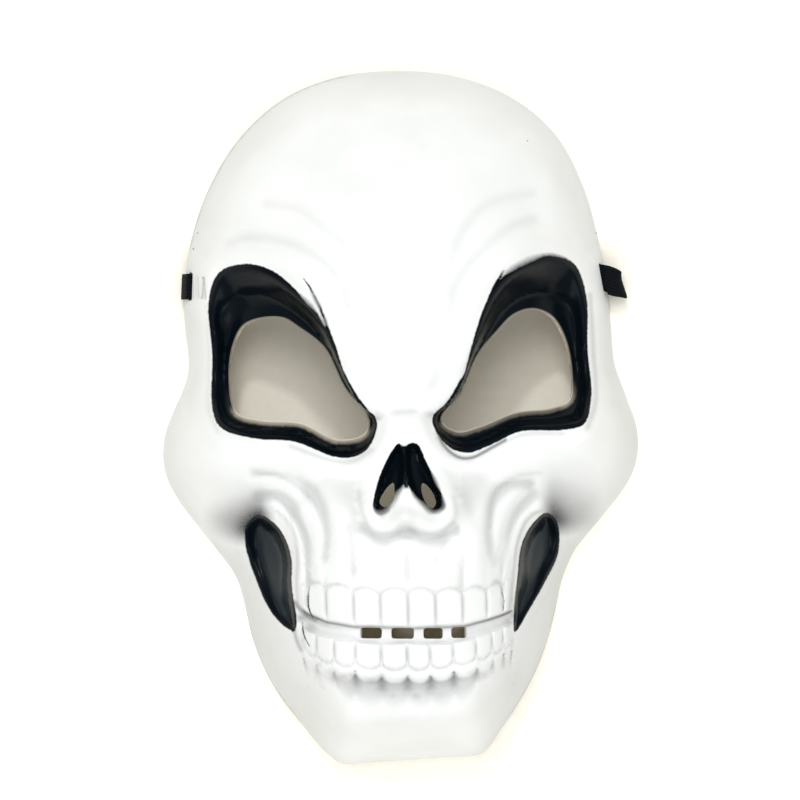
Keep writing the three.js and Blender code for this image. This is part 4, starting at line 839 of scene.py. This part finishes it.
class Nodes:
    def __init__(self, name):
        self.mat = bpy.data.materials.new(name)
        self.mat.use_nodes = True
        self.t = self.mat.node_tree
        self.t.nodes.clear()
        self.out = self.t.nodes.new("ShaderNodeOutputMaterial")
        self.bsdf = self.t.nodes.new("ShaderNodeBsdfPrincipled")
        self.t.links.new(self.bsdf.outputs[0], self.out.inputs[0])

    def put(self, socket, value):
        if isinstance(value, bpy.types.NodeSocket):
            self.t.links.new(value, socket)
        elif value is not None:
            socket.default_value = value

    def math(self, op, a, b=None, c=None, clamp=False):
        n = self.t.nodes.new("ShaderNodeMath")
        n.operation, n.use_clamp = op, clamp
        for s, v in zip(n.inputs, (a, b, c)):
            self.put(s, v)
        return n.outputs[0]

    def attr(self, name):
        n = self.t.nodes.new("ShaderNodeAttribute")
        n.attribute_name = name
        return n.outputs["Fac"]

    def coords(self):
        n = self.t.nodes.new("ShaderNodeTexCoord")
        return n.outputs["Object"]

    def noise(self, vec, scale, detail=3.0, rough=0.5):
        n = self.t.nodes.new("ShaderNodeTexNoise")
        self.put(n.inputs["Vector"], vec)
        n.inputs["Scale"].default_value = scale
        n.inputs["Detail"].default_value = detail
        n.inputs["Roughness"].default_value = rough
        return n.outputs["Fac"]

    def mix(self, fac, a, b):
        n = self.t.nodes.new("ShaderNodeMix")
        n.data_type = "RGBA"
        n.clamp_factor = True
        self.put(n.inputs[0], fac)
        self.put(n.inputs[6], a)
        self.put(n.inputs[7], b)
        return n.outputs[2]

    def ramp(self, x, lo, hi, a=0.0, b=1.0):
        n = self.t.nodes.new("ShaderNodeMapRange")
        n.interpolation_type = "SMOOTHSTEP"
        self.put(n.inputs[0], x)
        for s, v in zip((1, 2, 3, 4), (lo, hi, a, b)):
            n.inputs[s].default_value = v
        return n.outputs[0]

    def bump(self, height, strength, distance):
        n = self.t.nodes.new("ShaderNodeBump")
        n.inputs["Strength"].default_value = strength
        n.inputs["Distance"].default_value = distance
        self.put(n.inputs["Height"], height)
        self.t.links.new(n.outputs[0], self.bsdf.inputs["Normal"])


def plastic():
    m = Nodes("painted white plastic")
    co = m.coords()
    face = m.attr("face")
    # raw plastic: near white, a little uneven, creamier on the unpainted inside
    cloud = m.noise(co, 38.0, 3.0)
    white = m.mix(m.ramp(cloud, 0.3, 0.75), srgb(*WHITE_HI), srgb(*WHITE_LO))
    back = m.mix(m.ramp(m.noise(co, 60.0), 0.3, 0.7), srgb(*INSIDE_HI), srgb(*INSIDE_LO))
    col = m.mix(m.ramp(face, 0.2, 0.8), back, white)
    # painted shade: the plastic darkened in the grooves of the relief
    col = m.mix(m.math("MULTIPLY", m.attr("crease_shade"), CREASE_SHADE), col, srgb(120, 120, 118))
    # the mask's sprayed dark paint over the hollows and under the gums, and painted shade along folds, rims and the
    # bite, speckled at their thin edges
    grain = m.noise(co, 2600.0, 2.0)
    spray_and_shade = m.math("MULTIPLY", m.attr("spray_and_shade"), m.math("MULTIPLY_ADD", grain, 0.5, 0.75), clamp=True)
    col = m.mix(spray_and_shade, col, srgb(22, 24, 28))
    # the black paint: a mostly crisp edge that wanders a little
    wander = m.math("MULTIPLY", m.math("SUBTRACT", m.noise(co, 620.0, 4.0, 0.65), 0.5), 0.75)
    depth = m.math("ADD", m.attr("ink"), wander)
    fac = m.math("MULTIPLY_ADD", m.math("DIVIDE", depth, m.attr("soft")), 0.5, 0.5, clamp=True)
    ink_col = m.mix(m.ramp(m.noise(co, 45.0), 0.35, 0.75), srgb(*BLACK_HI), srgb(*BLACK_LO))
    # painted sheen: the hollow floors lighter than the black walls, standing in for their reflection of the light
    ink_col = m.mix(m.attr("hollow_floor_sheen"), ink_col, srgb(36, 43, 48))
    col = m.mix(fac, col, ink_col)
    # bare ledge along the lower edge of each eye opening, and the cut edge itself
    lip = m.math("ADD", m.attr("lip"), m.math("MULTIPLY", m.math("SUBTRACT", m.noise(co, 420.0, 3.0), 0.5), 0.9))
    ledge = m.math("MULTIPLY", m.attr("shelf"), m.ramp(lip, 0.7, 2.4, 1.0, 0.0))
    col = m.mix(m.math("MULTIPLY", ledge, 0.8), col, srgb(176, 169, 154))
    cut = m.math("MULTIPLY", m.ramp(m.attr("lip"), 0.3, 0.6, 1.0, 0.0), face)
    col = m.mix(m.math("MULTIPLY", cut, m.math("MULTIPLY_ADD", m.attr("shelf"), 0.55, 0.3)), col, srgb(214, 206, 190))
    # small dark specks near the rim
    xyz = m.t.nodes.new("ShaderNodeSeparateXYZ")
    m.put(xyz.inputs[0], co)
    speck = None
    for x, y, r in SPECKS:
        dx = m.math("SUBTRACT", xyz.outputs[0], (x + SET_X) / 1000)
        dy = m.math("SUBTRACT", xyz.outputs[1], (y + SET_Y) / 1000)
        d = m.math("SQRT", m.math("ADD", m.math("MULTIPLY", dx, dx), m.math("MULTIPLY", dy, dy)))
        one = m.ramp(d, 0.4 * r / 1000, r / 1000, 0.75, 0.0)
        speck = one if speck is None else m.math("MAXIMUM", speck, one)
    col = m.mix(m.math("MULTIPLY", speck, face), col, srgb(60, 58, 56))
    m.put(m.bsdf.inputs["Base Color"], col)
    rough = m.math("MULTIPLY_ADD", fac, BLACK_ROUGH - WHITE_ROUGH, WHITE_ROUGH)
    m.put(m.bsdf.inputs["Roughness"], m.math("ADD", rough, m.math("MULTIPLY", m.math("SUBTRACT", m.noise(co, 240.0), 0.5), 0.07), clamp=True))
    m.bsdf.inputs["IOR"].default_value = 1.4
    m.bsdf.inputs["Specular IOR Level"].default_value = 0.09
    fine = m.math("ADD", m.math("MULTIPLY", m.noise(co, 900.0, 2.0), 0.35), m.noise(co, 170.0, 2.0))
    m.bump(fine, 0.05, 0.0005)
    return m.mat


def cut_edge():
    m = Nodes("cut plastic edge")
    co = m.coords()
    m.put(m.bsdf.inputs["Base Color"], m.mix(m.ramp(m.noise(co, 500.0), 0.35, 0.7), srgb(214, 206, 190), srgb(176, 168, 150)))
    m.put(m.bsdf.inputs["Roughness"], m.ramp(m.noise(co, 800.0), 0.3, 0.7, 0.5, 0.7))
    m.bump(m.noise(co, 1500.0), 0.3, 0.0003)
    return m.mat


def elastic():
    m = Nodes("woven black elastic")
    uv = m.t.nodes.new("ShaderNodeUVMap")
    uv.uv_map = "ribbon"
    s = m.t.nodes.new("ShaderNodeSeparateXYZ")
    m.put(s.inputs[0], uv.outputs[0])
    u, v = s.outputs[0], s.outputs[1]
    wave = lambda x, pitch, shift=0.0: m.math("MULTIPLY_ADD", m.math("SINE", m.math("MULTIPLY_ADD", x, 2 * math.pi / pitch, shift)), 0.5, 0.5)
    row = wave(v, 0.0012)
    stitch = wave(m.math("ADD", u, m.math("MULTIPLY", m.math("FLOOR", m.math("DIVIDE", v, 0.0012)), 0.0004)), 0.0009)
    weave = m.math("MULTIPLY", m.math("POWER", row, 0.6), m.math("MULTIPLY_ADD", stitch, 0.6, 0.4))
    col = m.mix(weave, srgb(4, 6, 9), srgb(15, 18, 23))
    fuzz = m.noise(m.coords(), 1800.0, 3.0)
    col = m.mix(m.ramp(fuzz, 0.62, 0.8, 0.0, 0.3), col, srgb(44, 46, 52))
    m.put(m.bsdf.inputs["Base Color"], col)
    m.put(m.bsdf.inputs["Roughness"], m.math("MULTIPLY_ADD", weave, -0.15, 0.85))
    m.bsdf.inputs["Sheen Weight"].default_value = 0.01
    m.bsdf.inputs["Sheen Roughness"].default_value = 0.5
    m.bsdf.inputs["Specular IOR Level"].default_value = 0.08
    m.bump(m.math("ADD", weave, m.math("MULTIPLY", fuzz, 0.4)), 0.7, 0.0003)
    return m.mat


WHITE_HI, WHITE_LO = (235, 237, 237), (229, 231, 230)
INSIDE_HI, INSIDE_LO = (230, 219, 197), (222, 210, 186)
BLACK_HI, BLACK_LO = (9, 17, 23), (5, 11, 16)
WHITE_ROUGH, BLACK_ROUGH = 0.42, 0.20
CREASE_SHADE = 0.34
me.materials.append(plastic())
me.materials.append(cut_edge())
strap.data.materials.append(elastic())

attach(shell, "root")
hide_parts("mask_shell")
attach(strap, "root")
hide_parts("elastic_strap")

# ---------------------------------------------------------------- floor, light and camera
fl = bpy.data.meshes.new("floor")
fl.from_pydata([(-4, -4, 0), (4, -4, 0), (4, 4, 0), (-4, 4, 0)], [], [(0, 1, 2, 3)])
floor = bpy.data.objects.new("floor", fl)
bpy.context.scene.collection.objects.link(floor)
fm = Nodes("floor paper")
fm.put(fm.bsdf.inputs["Base Color"], fm.mix(fm.ramp(fm.noise(fm.coords(), 300.0), 0.3, 0.7), srgb(252, 249, 238), srgb(249, 246, 234)))
fm.bsdf.inputs["Roughness"].default_value = 0.9
fm.bsdf.inputs["Specular IOR Level"].default_value = 0.1
fl.materials.append(fm.mat)

SUN, SKY, TILT = 0.95, 0.54, 18.0
world = bpy.data.worlds.new("studio")
bpy.context.scene.world = world
world.use_nodes = True
wt = world.node_tree
bg = wt.nodes["Background"]
geo = wt.nodes.new("ShaderNodeTexCoord")
sep = wt.nodes.new("ShaderNodeSeparateXYZ")
wt.links.new(geo.outputs["Generated"], sep.inputs[0])
ramp = wt.nodes.new("ShaderNodeValToRGB")
wt.links.new(sep.outputs[2], ramp.inputs[0])
stops = [(0.0, 0.42), (0.34, 0.7), (0.52, 1.55), (0.80, 2.1), (0.90, 1.7), (0.955, 0.5), (1.0, 0.2)]
while len(ramp.color_ramp.elements) < len(stops):
    ramp.color_ramp.elements.new(0.5)
for e, (at, v) in zip(ramp.color_ramp.elements, stops):
    e.position, e.color = at, (v, v, v, 1)
lean = wt.nodes.new("ShaderNodeMath")
lean.operation = "MULTIPLY_ADD"
wt.links.new(sep.outputs[1], lean.inputs[0])
lean.inputs[1].default_value, lean.inputs[2].default_value = -0.16, 1.0
power = wt.nodes.new("ShaderNodeMath")
power.operation = "MULTIPLY"
wt.links.new(lean.outputs[0], power.inputs[0])
power.inputs[1].default_value = SKY
wt.links.new(ramp.outputs[0], bg.inputs["Color"])
wt.links.new(power.outputs[0], bg.inputs["Strength"])

lamp = bpy.data.lights.new("key", "SUN")
lamp.energy, lamp.angle = SUN, math.radians(26)
lamp.color = (1.0, 0.995, 0.98)
key = bpy.data.objects.new("key", lamp)
key.rotation_euler = (-math.radians(TILT), math.radians(-3), 0)
bpy.context.scene.collection.objects.link(key)

spark = bpy.data.lights.new("spark", "SUN")
spark.energy, spark.angle = 0.6, math.radians(5)
glint = bpy.data.objects.new("spark", spark)
glint.rotation_euler = (-math.radians(36), math.radians(-6), 0)
bpy.context.scene.collection.objects.link(glint)

low = bpy.data.lights.new("low fill", "SUN")
low.energy, low.angle = 0.72, math.radians(40)
fill = bpy.data.objects.new("low fill", low)
fill.rotation_euler = (math.radians(48), 0, 0)
bpy.context.scene.collection.objects.link(fill)

cam = bpy.data.cameras.new("camera")
cam.sensor_width, cam.lens = 36.0, 604.8
cam.clip_start, cam.clip_end = 0.1, 100.0
eye = bpy.data.objects.new("camera", cam)
eye.location = (0.000234, 0.00626, 5.04)
eye.rotation_euler = (0, 0, math.radians(-1.5))
bpy.context.scene.collection.objects.link(eye)
bpy.context.scene.camera = eye
bpy.context.scene.view_settings.view_transform = "Standard"
